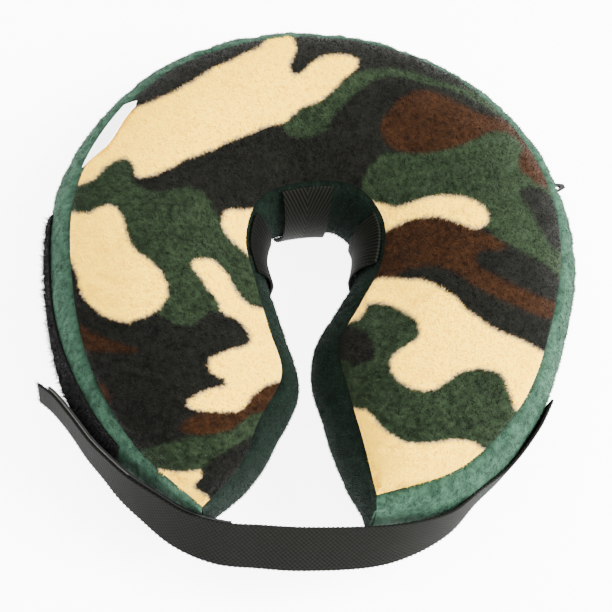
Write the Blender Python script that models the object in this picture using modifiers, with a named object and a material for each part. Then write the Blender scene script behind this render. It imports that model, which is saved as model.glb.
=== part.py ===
"""Inflatable recovery collar, lying flat with its gap towards -Y and its top panel up.

A C-shaped cover of four sewn fabric panels stands over a thin air bladder. A webbing strap closes the
gap, three webbing loops line the neck hole, a folded label stands in the outer seam, and a zip low on
the outer wall lets the bladder out. Metres, +Z up, origin on the surface it rests on.
"""

import math
from collections import namedtuple

import bmesh
import bpy
import numpy as np

# Plan of the cover: radii about the plan centre, at the seams
OUTER_RADIUS = 0.130
NECK_RADIUS = 0.038

# Height and fullness of the cover
BAND_HEIGHT = 0.060
TOP_CROWN = 0.012
BOTTOM_CROWN = 0.011
OUTER_BULGE = 0.0125
INNER_BULGE = 0.009
LEFT_TIP_BULGE = 0.001
RIGHT_TIP_BULGE = 0.011
FULL_WIDTH = 0.060
FLAT_SHARE = 0.4
CROWN_POWER = 2.2
UNDERSIDE_POWER = 1.8
SETTLING_POWER = 0.75

# Walls and clearances
FABRIC = 0.002
BLADDER_WALL = 0.001
BLADDER_CLEARANCE = 0.0008
SEAM_GAP = 0.0004
SEAT = 0.0003
TAPE_GAP = 0.0005
VALVE_BORE = 0.010

# Webbing, tapes and label
WEBBING_WIDTH = 0.025
STRAP_THICKNESS = 0.0013
HOOK_THICKNESS = 0.0012
LOOP_TAPE_THICKNESS = 0.0022
LOOP_TAPE_WIDTH = 0.030
COLLAR_LOOP_THICKNESS = 0.0012
COLLAR_LOOP_SLACK = 0.0022
COLLAR_LOOP_TRIM = 0.03
LABEL_LENGTH = 0.043
LABEL_HEIGHT = 0.012
LABEL_THICKNESS = 0.0009

# Zip
ZIP_WIDTH = 0.007
ZIP_THICKNESS = 0.0016
SLIDER_LENGTH = 0.011
SLIDER_WIDTH = 0.0085
SLIDER_THICKNESS = 0.0030
SLIDER_BACK = 0.6
SLIDER_FRONT = 0.4
SLIDER_SHOULDERS = (-0.3, 0.6)
CROWN_HEIGHT = 0.0036
CROWN_SHOULDER = 0.7
CROWN_LENGTH = 0.0064
CROWN_BAR = 0.0014
CROWN_WIDTH = 0.0030
PULL_LENGTH = 0.029
PULL_WIDTH = 0.0075
PULL_NECK = 0.0056
PULL_TIP = 0.0026
PULL_PLAY = 0.0004
PULL_HOLE = 0.0032
PULL_ROOT = 0.0032
PULL_SHOULDERS = (0.45, 0.62)
PULL_HOLE_END = 0.86

# Fineness of the mesh
STATIONS = 49
TOP_COLUMNS = 8
BAND_COLUMNS = 6
EDGE_COLUMNS = (0.0, 0.10, 0.20)
STRAP_STATIONS = 36
RIBBON_COLUMNS = (-1.0, -1 / 3, 1 / 3, 1.0)
LOOP_TAPE_STATIONS = 18
COLLAR_LOOP_STATIONS = 7
COLLAR_LOOP_COLUMNS = 8
LABEL_STATIONS = 7
LABEL_COLUMNS = 3
ZIP_STATIONS = 16
REACH_SAMPLES = 200
SHARPEST_CORNER = 0.3

# One row for each cross-section, from the left tip clockwise round the back to the right tip. A turn is
# in degrees clockwise from -Y about the plan centre. outer is a share of OUTER_RADIUS, neck of
# NECK_RADIUS, arm of the difference between the two, and height of BAND_HEIGHT.
Section = namedtuple("Section", "outer_turn outer inner_turn neck arm height")
SECTIONS = (
    Section(13.8, 1.050, 13.8, 1.00, 1.080, 0.80),
    Section(32.9, 1.000, 9.4, 1.00, 0.816, 0.90),
    Section(53.5, 0.955, 8.3, 1.00, 0.541, 0.97),
    Section(75.1, 0.937, 5.3, 1.00, 0.270, 1.00),
    Section(96.2, 0.974, 22.1, 1.13, 0.000, 1.00),
    Section(116.7, 0.998, 57.6, 0.83, 0.000, 1.00),
    Section(136.5, 1.022, 100.0, 0.96, 0.000, 1.00),
    Section(156.5, 1.026, 133.8, 1.17, 0.000, 1.00),
    Section(176.3, 1.035, 165.5, 1.18, 0.000, 1.00),
    Section(195.8, 1.050, 196.2, 1.28, 0.000, 1.00),
    Section(215.1, 1.055, 225.0, 1.15, 0.000, 1.00),
    Section(234.4, 1.045, 259.8, 0.89, 0.000, 1.00),
    Section(253.7, 1.005, 305.3, 0.83, 0.000, 1.00),
    Section(274.3, 0.960, 336.3, 1.21, 0.000, 1.00),
    Section(295.4, 0.970, 337.6, 1.00, 0.362, 0.97),
    Section(316.1, 0.975, 336.9, 1.00, 0.636, 0.92),
    Section(336.7, 0.940, 336.7, 1.00, 0.914, 0.82),
)
MITRE_SECTIONS = 2.0

# The closure strap, from its free end at the left round to its sewn end at the right. tapes is how many
# tapes lie between it and the outer wall, clear how far it stands off them as a share of WEBBING_WIDTH,
# drop how far its middle lies below the wall's as a share of BAND_HEIGHT, and lean is in degrees, bottom
# edge out.
StrapRow = namedtuple("StrapRow", "turn tapes clear drop lean")
STRAP_ROWS = (
    StrapRow(55.3, 2, 0.31, -0.04, 3.0),
    StrapRow(51.8, 2, 0.13, -0.04, 4.0),
    StrapRow(46.5, 2, 0.03, -0.04, 4.0),
    StrapRow(40.4, 2, 0.04, -0.05, 6.0),
    StrapRow(35.0, 2, 0.07, -0.06, 9.0),
    StrapRow(29.7, 1, 0.25, -0.06, 15.0),
    StrapRow(24.0, 1, 0.31, -0.06, 22.0),
    StrapRow(16.5, 1, 0.33, -0.05, 31.0),
    StrapRow(8.7, 1, 0.26, -0.03, 40.0),
    StrapRow(0.9, 1, 0.20, -0.01, 43.0),
    StrapRow(-8.0, 0, 0.31, 0.00, 44.0),
    StrapRow(-20.8, 0, 0.50, 0.01, 40.0),
    StrapRow(-29.6, 0, 0.50, 0.01, 28.0),
    StrapRow(-38.3, 0, 0.32, 0.01, 14.0),
    StrapRow(-46.3, 0, 0.06, 0.00, 5.0),
    StrapRow(-54.6, 0, 0.02, 0.00, 0.0),
    StrapRow(-64.5, 0, 0.01, 0.00, 0.0),
    StrapRow(-71.8, 0, 0.01, 0.00, 0.0),
)
HOOK_SHARE = 0.50

# The three collar loops in the neck hole: where each stands along the inner wall, in section rows
CollarLoop = namedtuple("CollarLoop", "name section")
COLLAR_LOOPS = (
    CollarLoop("collar_loop_left", 5.92),
    CollarLoop("collar_loop_back", 8.02),
    CollarLoop("collar_loop_right", 10.38),
)
LOOP_TAPE_SPAN = (1.15, 3.85)
LABEL_SECTION = 4.87
LABEL_LEAN = 34.0
ZIP_SPAN = (9.6, 12.6)
ZIP_PLACE = 0.80
PULL_SECTION = 10.86
BLADDER_ENDS = 2
VALVE_SECTION = 11.6

CENTRE_Z = BOTTOM_CROWN + BAND_HEIGHT / 2


def clear_scene():
    for item in list(bpy.data.objects):
        bpy.data.objects.remove(item, do_unlink=True)


def new_collection(name):
    collection = bpy.data.collections.new(name)
    bpy.context.scene.collection.children.link(collection)
    return collection


def new_material(name, colour, roughness, metallic=0.0):
    material = bpy.data.materials.new(name)
    material.use_nodes = True
    shader = material.node_tree.nodes["Principled BSDF"]
    shader.inputs["Base Color"].default_value = (*colour, 1.0)
    shader.inputs["Roughness"].default_value = roughness
    shader.inputs["Metallic"].default_value = metallic
    material.diffuse_color = (*colour, 1.0)
    return material


def spline(values, place):
    """A smooth curve through equally spaced rows of values, read at a place counted in rows."""
    values = np.asarray(values, float)
    last = len(values) - 1
    place = min(max(place, 0.0), last)
    row = min(int(place), last - 1)
    t = place - row
    p1 = values[row]
    p2 = values[row + 1]
    p0 = values[row - 1] if row else 2 * p1 - p2
    p3 = values[row + 2] if row + 2 <= last else 2 * p2 - p1
    slope1 = (p2 - p0) / 2
    slope2 = (p3 - p1) / 2
    return (
        (2 * t**3 - 3 * t**2 + 1) * p1
        + (t**3 - 2 * t**2 + t) * slope1
        + (3 * t**2 - 2 * t**3) * p2
        + (t**3 - t**2) * slope2
    )


def unit(vector):
    return vector / np.linalg.norm(vector, axis=-1, keepdims=True)


def smoothstep(t):
    t = min(max(t, 0.0), 1.0)
    return t * t * (3 - 2 * t)


def polar(turn, reach):
    """A plan point from a clockwise turn from -Y and a reach from the plan centre."""
    angle = math.radians(turn)
    return np.array([-math.sin(angle) * reach, -math.cos(angle) * reach])


def seam_points(place):
    """The plan points of the outer and the inner seam at a place along the sections."""
    arm_length = OUTER_RADIUS - NECK_RADIUS
    outer_rows = [polar(row.outer_turn, row.outer * OUTER_RADIUS) for row in SECTIONS]
    inner_rows = [
        polar(row.inner_turn, row.neck * NECK_RADIUS + row.arm * arm_length) for row in SECTIONS
    ]
    for end in (0, -1):
        inner_rows[end] = outer_rows[end]
    return spline(outer_rows, place), spline(inner_rows, place)


def plan_normal(place, side):
    """The direction, in plan, that a wall faces: side 0 is the outer wall and 1 the inner one."""
    step = 0.02
    last = len(SECTIONS) - 1
    ahead = seam_points(min(place + step, last))[side]
    behind = seam_points(max(place - step, 0.0))[side]
    along = unit(ahead - behind)
    facing = np.array([-along[1], along[0]]) * (1 if side == 0 else -1)
    end = 0.0 if place < last / 2 else float(last)
    tip = seam_points(end)[0]
    inside = sum(seam_points(end + (step if end == 0 else -step) * 20)) / 2
    outward = unit(tip - inside)
    mitre = 1 - smoothstep(abs(place - end) / MITRE_SECTIONS)
    return unit((1 - mitre) * facing + mitre * outward), mitre


def wall_profile(half_height, bulge, v):
    """Out and up of a bulging wall, v running from its top seam (0) to its bottom seam (1)."""
    radius = (half_height**2 + bulge**2) / (2 * bulge)
    seam_angle = math.asin(min(half_height / radius, 1.0))
    angle = seam_angle * (1 - 2 * v)
    return radius * (math.cos(angle) - math.cos(seam_angle)), radius * math.sin(angle)


def half_height_at(place):
    return BAND_HEIGHT / 2 * float(spline([row.height for row in SECTIONS], place))


def wall_point(place, side, v, stand_off=0.0):
    """A point on the outer (0) or inner (1) wall, moved out of the wall by stand_off."""
    seam = seam_points(place)[side]
    normal, mitre = plan_normal(place, side)
    full = OUTER_BULGE if side == 0 else INNER_BULGE
    tip = LEFT_TIP_BULGE if place < (len(SECTIONS) - 1) / 2 else RIGHT_TIP_BULGE
    bulge = full + (tip - full) * mitre
    half = half_height_at(place)
    out, up = wall_profile(half, bulge, v)
    step = 0.01
    out_next, up_next = wall_profile(half, bulge, v + step)
    out_last, up_last = wall_profile(half, bulge, v - step)
    tilt = unit(np.array([up_last - up_next, out_next - out_last]))
    flat = seam + normal * (out + tilt[0] * stand_off)
    return np.array([flat[0], flat[1], CENTRE_Z + up + tilt[1] * stand_off])


def panel_height(place, u, top):
    """Height of the top or bottom panel, u running from the inner seam (0) to the outer one (1)."""
    outer, inner = seam_points(place)
    width = float(np.linalg.norm(outer - inner))
    fullness = math.tanh(2.0 * width / FULL_WIDTH) / math.tanh(2.0)
    half = half_height_at(place)
    across = abs(2 * u - 1)
    if top:
        return CENTRE_Z + half + TOP_CROWN * fullness * (1 - across**CROWN_POWER)
    settled = min(width / FULL_WIDTH, 1.0) ** SETTLING_POWER
    rise = max(0.0, (across - FLAT_SHARE) / (1 - FLAT_SHARE)) ** UNDERSIDE_POWER
    seam_z = CENTRE_Z - half
    return seam_z * (1 - settled * (1 - rise))


def panel_shares():
    """How far across a panel each column lies: even on the crown, and closer at the two seams."""
    inner = (*EDGE_COLUMNS, (1 - FLAT_SHARE) / 2)
    return (*inner, 0.5, *(1 - share for share in reversed(inner)))


def skin_rows():
    """The cover's outside as a grid: a row for each station, a ring of points round each."""
    rows = []
    last = len(SECTIONS) - 1
    for station in range(STATIONS):
        place = last * station / (STATIONS - 1)
        outer, inner = seam_points(place)
        ring = []
        for u in panel_shares():
            flat = inner + (outer - inner) * u
            ring.append((flat[0], flat[1], panel_height(place, u, True)))
        for column in range(1, BAND_COLUMNS):
            ring.append(tuple(wall_point(place, 0, column / BAND_COLUMNS)))
        for u in reversed(panel_shares()):
            flat = inner + (outer - inner) * u
            ring.append((flat[0], flat[1], panel_height(place, u, False)))
        for column in range(BAND_COLUMNS - 1, 0, -1):
            ring.append(tuple(wall_point(place, 1, column / BAND_COLUMNS)))
        rows.append(ring)
    return np.array(rows)


def inward_directions(skin):
    """The way into the cover at each point of the skin, long enough at its corners to keep a depth."""
    along = np.empty_like(skin)
    along[1:-1] = skin[2:] - skin[:-2]
    along[0] = skin[1] - skin[0]
    along[-1] = skin[-1] - skin[-2]
    before = unit(skin[1:-1] - np.roll(skin[1:-1], 1, axis=1))
    after = unit(np.roll(skin[1:-1], -1, axis=1) - skin[1:-1])
    inward = np.zeros_like(skin)
    around = unit(before + after)
    inward[1:-1] = -unit(np.cross(around, along[1:-1]))
    corner = np.sqrt((1 + (before * after).sum(axis=-1)) / 2)
    inward[1:-1] /= corner[..., None]
    centre = skin[1:-1] - skin[1:-1].mean(axis=1, keepdims=True)
    if (inward[1:-1] * centre).sum() > 0:
        inward[1:-1] *= -1
    top_count = TOP_COLUMNS + 1
    outer_seam = top_count - 1
    half_ring = top_count + BAND_COLUMNS - 1
    for end, near in ((0, 1), (STATIONS - 1, STATIONS - 2)):
        for m in range(skin.shape[1]):
            tip = skin[end, m]
            outer_m = min(max(m, outer_seam), half_ring)
            if m > half_ring + TOP_COLUMNS:
                outer_m = outer_seam + (skin.shape[1] - m)
            inner_m = (skin.shape[1] - (outer_m - outer_seam)) % skin.shape[1]
            outer_way = unit((skin[near, outer_m] - tip) * (1, 1, 0))
            inner_way = unit((skin[near, inner_m] - tip) * (1, 1, 0))
            middle = unit(outer_way + inner_way)
            sine = math.sqrt(max(1 - float(middle @ outer_way) ** 2, SHARPEST_CORNER**2))
            inward[end, m] = middle / sine
            if m < top_count:
                inward[end, m] += (0, 0, -1)
            elif half_ring <= m <= half_ring + TOP_COLUMNS:
                inward[end, m] += (0, 0, 1)
    return inward


def grid_object(name, front, back, collection, material, closed_ring=False):
    """A closed sheet between a front and a back grid of points."""
    rows, columns = front.shape[:2]
    mesh = bpy.data.meshes.new(name)
    shell = bmesh.new()
    sides = [
        [[shell.verts.new(point) for point in row] for row in grid] for grid in (front, back)
    ]
    wrap = columns if closed_ring else columns - 1
    for grid, flip in ((sides[0], False), (sides[1], True)):
        for k in range(rows - 1):
            for m in range(wrap):
                n = (m + 1) % columns
                corners = [grid[k][m], grid[k][n], grid[k + 1][n], grid[k + 1][m]]
                shell.faces.new(reversed(corners) if flip else corners)
    outer, inner = sides
    for m in range(wrap):
        n = (m + 1) % columns
        for k in (0, rows - 1):
            shell.faces.new([outer[k][m], outer[k][n], inner[k][n], inner[k][m]])
    if not closed_ring:
        for k in range(rows - 1):
            for m in (0, columns - 1):
                shell.faces.new([outer[k][m], outer[k + 1][m], inner[k + 1][m], inner[k][m]])
    bmesh.ops.remove_doubles(shell, verts=shell.verts, dist=1e-6)
    bmesh.ops.recalc_face_normals(shell, faces=shell.faces)
    shell.to_mesh(mesh)
    shell.free()
    mesh.shade_smooth()
    mesh.set_sharp_from_angle(angle=math.radians(50))
    item = bpy.data.objects.new(name, mesh)
    item.data.materials.append(material)
    collection.objects.link(item)
    return item


def drawn_in(grid, amount, ends):
    """The grid with its side columns, and its end rows if asked, drawn in along the surface."""
    moved = grid.copy()
    moved[:, 0] += amount * unit(grid[:, 1] - grid[:, 0] + 1e-12)
    moved[:, -1] += amount * unit(grid[:, -2] - grid[:, -1] + 1e-12)
    if ends:
        moved[0] += amount * unit(grid[1] - grid[0])
        moved[-1] += amount * unit(grid[-2] - grid[-1])
    return moved


def build_cover(skin, inward, collection, materials):
    """The four panels: slices of one thick skin, parted by a narrow gap at each seam."""
    ring = skin.shape[1]
    inside = skin + inward * FABRIC
    bottom_start = TOP_COLUMNS + BAND_COLUMNS
    inner_start = bottom_start + TOP_COLUMNS
    strips = (
        ("top_panel", 0, TOP_COLUMNS, "camouflage_fleece"),
        ("outer_band", TOP_COLUMNS, bottom_start, "green_plush"),
        ("bottom_panel", bottom_start, inner_start, "green_plush"),
        ("inner_band", inner_start, ring, "green_plush"),
    )
    for name, start, end, material in strips:
        columns = [m % ring for m in range(start, end + 1)]
        panel = "panel" in name
        grids = []
        for grid in (skin[:, columns], inside[:, columns]):
            moved = drawn_in(grid, SEAM_GAP / 2, not panel)
            if panel:
                for tip, near in ((0, 1), (-1, -2)):
                    middle = grid[near].mean(axis=0)
                    moved[tip] = grid[tip].mean(axis=0)
                    moved[tip] += 2 * SEAM_GAP * unit(middle - moved[tip])
            grids.append(moved)
        grid_object(name, grids[0], grids[1], collection, materials[material])


def build_bladder(skin, inward, collection, cutters, material):
    """A thin-walled tube that fills the cover, with the bore of its valve open."""
    keep = [m for m in range(skin.shape[1]) if m not in bladder_skips()]
    rows = slice(BLADDER_ENDS, STATIONS - BLADDER_ENDS)
    shape = (skin + inward * (FABRIC + BLADDER_CLEARANCE))[rows][:, keep]
    mesh = bpy.data.meshes.new("air_bladder")
    tube = bmesh.new()
    verts = [[tube.verts.new(point) for point in row] for row in shape]
    for k in range(len(verts) - 1):
        for m in range(len(keep)):
            n = (m + 1) % len(keep)
            tube.faces.new([verts[k][m], verts[k][n], verts[k + 1][n], verts[k + 1][m]])
    for end in (verts[0], verts[-1]):
        middle = tube.verts.new(np.mean([vert.co for vert in end], axis=0))
        for m in range(len(keep)):
            tube.faces.new([end[m], end[(m + 1) % len(keep)], middle])
    bmesh.ops.recalc_face_normals(tube, faces=tube.faces)
    tube.to_mesh(mesh)
    tube.free()
    mesh.shade_smooth()
    bladder = bpy.data.objects.new("air_bladder", mesh)
    bladder.data.materials.append(material)
    collection.objects.link(bladder)
    wall = bladder.modifiers.new("wall", "SOLIDIFY")
    wall.thickness = BLADDER_WALL
    wall.offset = -1.0
    bore = bladder.modifiers.new("valve_bore", "BOOLEAN")
    bore.operation = "DIFFERENCE"
    bore.solver = "EXACT"
    bore.object = valve_cutter(cutters)


def bladder_skips():
    """The ring columns that the bladder leaves out: it is smoother than the cover."""
    bottom_start = TOP_COLUMNS + BAND_COLUMNS
    inner_start = bottom_start + TOP_COLUMNS
    return (1, TOP_COLUMNS - 1, TOP_COLUMNS + 1, TOP_COLUMNS + 3, TOP_COLUMNS + 5,
            bottom_start + 1, inner_start - 1, inner_start + 1, inner_start + 3, inner_start + 5)


def valve_cutter(cutters):
    normal, _ = plan_normal(VALVE_SECTION, 0)
    centre = wall_point(VALVE_SECTION, 0, 0.5, -(FABRIC + BLADDER_CLEARANCE))
    bpy.ops.mesh.primitive_cylinder_add(vertices=10, radius=VALVE_BORE / 2, depth=8 * BLADDER_WALL)
    cutter = bpy.context.object
    cutter.name = "valve_cutter"
    cutter.location = centre
    cutter.rotation_euler = (0.0, math.pi / 2, math.atan2(normal[1], normal[0]))
    cutter.hide_render = True
    cutter.display_type = "WIRE"
    for owner in list(cutter.users_collection):
        owner.objects.unlink(cutter)
    cutters.objects.link(cutter)
    return cutter


def wall_turn(place):
    """The turn and the reach of the outer wall at the middle of its height."""
    point = wall_point(place, 0, 0.5)
    return math.degrees(math.atan2(-point[0], -point[1])) % 360, math.hypot(point[0], point[1])


def wall_reach(turn):
    """The reach of the outer wall's fullest line at a turn, carried straight across the gap."""
    last = len(SECTIONS) - 1
    samples = [wall_turn(last * k / REACH_SAMPLES) for k in range(REACH_SAMPLES + 1)]
    samples.insert(0, (samples[-1][0] - 360, samples[-1][1]))
    if turn < samples[0][0]:
        turn += 360
    return float(np.interp(turn, [sample[0] for sample in samples], [sample[1] for sample in samples]))


def strap_points():
    """The strap's middle at each of its rows."""
    tape_depths = (
        0.0,
        HOOK_THICKNESS + TAPE_GAP,
        HOOK_THICKNESS + LOOP_TAPE_THICKNESS + SEAT + TAPE_GAP,
    )
    points = []
    for row in STRAP_ROWS:
        reach = wall_reach(row.turn) + SEAT + tape_depths[row.tapes] + STRAP_THICKNESS / 2
        flat = polar(row.turn, reach + row.clear * WEBBING_WIDTH)
        points.append((flat[0], flat[1], CENTRE_Z - row.drop * BAND_HEIGHT))
    return np.array(points)


def strap_frame(points, place):
    """Middle, width direction and outward direction of the strap at a place along its rows."""
    step = 0.01
    middle = spline(points, place)
    along = unit(spline(points, place + step) - spline(points, place - step))
    level = unit(np.array([along[0], along[1], 0.0]))
    outward = np.array([level[1], -level[0], 0.0])
    if outward @ middle < 0:
        outward = -outward
    lean = math.radians(float(spline([row.lean for row in STRAP_ROWS], place)))
    down = np.array([0.0, 0.0, -math.cos(lean)]) + outward * math.sin(lean)
    facing = np.array([0.0, 0.0, math.sin(lean)]) + outward * math.cos(lean)
    return middle, down, facing


def ribbon(name, places, depth, thickness, width, collection, material):
    """A flat band that follows the strap's line, depth inside or outside of it."""
    points = strap_points()
    front = []
    back = []
    for place in places:
        middle, down, facing = strap_frame(points, place)
        edges = [middle + facing * depth + down * width / 2 * end for end in RIBBON_COLUMNS]
        front.append([edge + facing * thickness / 2 for edge in edges])
        back.append([edge - facing * thickness / 2 for edge in edges])
    return grid_object(name, np.array(front), np.array(back), collection, material)


def build_strap(collection, materials):
    last = len(STRAP_ROWS) - 1
    places = [last * k / (STRAP_STATIONS - 1) for k in range(STRAP_STATIONS)]
    ribbon("closure_strap", places, 0.0, STRAP_THICKNESS, WEBBING_WIDTH, collection,
           materials["black_webbing"])
    hook_places = places[1:round(STRAP_STATIONS * HOOK_SHARE)]
    depth = -(STRAP_THICKNESS + HOOK_THICKNESS) / 2 - TAPE_GAP
    ribbon("hook_tape", hook_places, depth, HOOK_THICKNESS, WEBBING_WIDTH, collection,
           materials["hook_tape"])


def wall_patch(name, side, span, heights, offsets, thickness, collection, material, stations):
    """A strip on a wall: its columns at the given heights, each standing off the wall by its offset."""
    places = np.linspace(span[0], span[1], stations)
    front = [
        [wall_point(place, side, v, off + thickness) for v, off in zip(heights, offsets)]
        for place in places
    ]
    back = [[wall_point(place, side, v, off) for v, off in zip(heights, offsets)] for place in places]
    return grid_object(name, np.array(front), np.array(back), collection, material)


def build_loop_tape(collection, material):
    half = LOOP_TAPE_WIDTH / 2 / wall_arc(OUTER_BULGE)
    heights = [0.5 - half, 0.5 - half / 2, 0.5, 0.5 + half / 2, 0.5 + half]
    offsets = [SEAT] * len(heights)
    wall_patch("loop_tape", 0, LOOP_TAPE_SPAN, heights, offsets, LOOP_TAPE_THICKNESS, collection,
               material, LOOP_TAPE_STATIONS)


def wall_arc(bulge):
    """The length of a full-height wall from seam to seam, over its bulge."""
    radius = ((BAND_HEIGHT / 2) ** 2 + bulge**2) / (2 * bulge)
    return 2 * radius * math.asin(BAND_HEIGHT / 2 / radius)


def section_pitch(side, place):
    """How many metres of a wall's fullest line one section row takes, near a place."""
    step = 0.2
    ahead = wall_point(place + step, side, 0.5)
    behind = wall_point(place - step, side, 0.5)
    return float(np.linalg.norm(ahead - behind)) / (2 * step)


def build_collar_loops(collection, material):
    """Each loop hangs from the top seam to the bottom seam, a little slack over the wall between."""
    heights = np.linspace(COLLAR_LOOP_TRIM, 1 - COLLAR_LOOP_TRIM, COLLAR_LOOP_COLUMNS + 1)
    offsets = [SEAT + COLLAR_LOOP_SLACK * math.sin(math.pi * v) ** 0.5 for v in heights]
    for loop in COLLAR_LOOPS:
        half = WEBBING_WIDTH / 2 / section_pitch(1, loop.section)
        span = (loop.section - half, loop.section + half)
        wall_patch(loop.name, 1, span, heights, offsets, COLLAR_LOOP_THICKNESS, collection,
                   material, COLLAR_LOOP_STATIONS)


def build_label(collection, material):
    """A folded ribbon that stands in the outer seam and leans in over the top panel."""
    half = LABEL_LENGTH / 2 / section_pitch(0, LABEL_SECTION)
    lean = math.radians(LABEL_LEAN)
    front = []
    back = []
    for place in np.linspace(LABEL_SECTION - half, LABEL_SECTION + half, LABEL_STATIONS):
        outer, _ = seam_points(place)
        normal, _ = plan_normal(place, 0)
        out = np.array([normal[0], normal[1], 0.0])
        rise = np.array([0.0, 0.0, math.cos(lean)]) - out * math.sin(lean)
        facing = np.array([0.0, 0.0, math.sin(lean)]) + out * math.cos(lean)
        seam = np.array([outer[0], outer[1], CENTRE_Z + half_height_at(place)])
        foot = seam + facing * (SEAT + LABEL_THICKNESS)
        line = [
            foot + rise * LABEL_HEIGHT * column / LABEL_COLUMNS for column in range(LABEL_COLUMNS + 1)
        ]
        front.append([point + facing * LABEL_THICKNESS / 2 for point in line])
        back.append([point - facing * LABEL_THICKNESS / 2 for point in line])
    grid_object("seam_label", np.array(front), np.array(back), collection, material)


def zip_frame():
    """Where the slider sits: a point on the zip's face, and the along, crosswise and outward ways."""
    origin = wall_point(PULL_SECTION, 0, ZIP_PLACE, SEAT + ZIP_THICKNESS)
    step = 0.05
    ahead = wall_point(PULL_SECTION + step, 0, ZIP_PLACE)
    behind = wall_point(PULL_SECTION - step, 0, ZIP_PLACE)
    along = unit(ahead - behind)
    outward = unit(origin - wall_point(PULL_SECTION, 0, ZIP_PLACE, 0.0))
    across = unit(np.cross(outward, along))
    return origin, along, across, np.cross(along, across)


def placed_points(points, frame):
    """Points given as along, across and outward of the zip's frame, in world places."""
    origin, along, across, outward = frame
    return [origin + along * a + across * b + outward * c for a, b, c in points]


def prism(outline, low, high, axis):
    """Two rings of points: an outline in a plane, given a depth along the third direction."""
    rings = []
    for level in (low, high):
        ring = []
        for first, second in outline:
            point = [first, second]
            point.insert(axis, level)
            ring.append(tuple(point))
        rings.append(ring)
    return rings


def prism_mesh(name, rings, frame):
    mesh = bpy.data.meshes.new(name)
    body = bmesh.new()
    loops = [[body.verts.new(point) for point in placed_points(ring, frame)] for ring in rings]
    count = len(loops[0])
    for m in range(count):
        n = (m + 1) % count
        body.faces.new([loops[0][m], loops[0][n], loops[1][n], loops[1][m]])
    body.faces.new(loops[0])
    body.faces.new(loops[1])
    bmesh.ops.recalc_face_normals(body, faces=body.faces)
    body.to_mesh(mesh)
    body.free()
    return mesh


def prism_object(name, rings, frame, collection, material=None):
    item = bpy.data.objects.new(name, prism_mesh(name, rings, frame))
    if material:
        item.data.materials.append(material)
    collection.objects.link(item)
    return item


def cut(target, cutter, operation="DIFFERENCE"):
    step = target.modifiers.new(cutter.name, "BOOLEAN")
    step.operation = operation
    step.solver = "EXACT"
    step.object = cutter
    cutter.hide_render = True
    cutter.display_type = "WIRE"


def build_zip(collection, cutters, materials):
    """The zip's chain, its slider with an arched crown, and the pull that swings on the crown."""
    half = ZIP_WIDTH / 2 / wall_arc(OUTER_BULGE)
    heights = [ZIP_PLACE - half, ZIP_PLACE, ZIP_PLACE + half]
    wall_patch("zip_chain", 0, ZIP_SPAN, heights, [SEAT] * 3, ZIP_THICKNESS, collection,
               materials["zip_chain"], ZIP_STATIONS)
    frame = zip_frame()
    base = SEAT
    top = base + SLIDER_THICKNESS
    nose = SLIDER_LENGTH / 2
    side = SLIDER_WIDTH / 2
    back, front = (nose * share for share in SLIDER_SHOULDERS)
    plate = [(-nose, -side * SLIDER_BACK), (back, -side), (front, -side),
             (nose, -side * SLIDER_FRONT), (nose, side * SLIDER_FRONT), (front, side),
             (back, side), (-nose, side * SLIDER_BACK)]
    slider = prism_object("zip_slider", prism(plate, base, top, 2), frame, collection,
                          materials["zip_metal"])
    shoulder = top + CROWN_HEIGHT * CROWN_SHOULDER
    crown = [(-CROWN_LENGTH / 2, top - CROWN_BAR), (CROWN_LENGTH / 2, top - CROWN_BAR),
             (CROWN_LENGTH / 2, shoulder), (CROWN_LENGTH / 4, top + CROWN_HEIGHT),
             (-CROWN_LENGTH / 4, top + CROWN_HEIGHT), (-CROWN_LENGTH / 2, shoulder)]
    arch = prism_object("slider_crown", prism(crown, -CROWN_WIDTH / 2, CROWN_WIDTH / 2, 1), frame,
                        cutters)
    eye_half = CROWN_LENGTH / 2 - CROWN_BAR
    eye_low = top
    eye_high = top + CROWN_HEIGHT - CROWN_BAR
    eye = [(-eye_half, eye_low), (eye_half, eye_low), (eye_half, eye_high), (-eye_half, eye_high)]
    window = prism_object("crown_window", prism(eye, -CROWN_WIDTH, CROWN_WIDTH, 1), frame, cutters)
    cut(slider, arch, "UNION")
    cut(slider, window)
    hinge = frame[0] + frame[3] * (eye_low + eye_high) / 2
    build_pull(hinge, frame, collection, cutters, materials["zip_metal"], eye_half)


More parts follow.
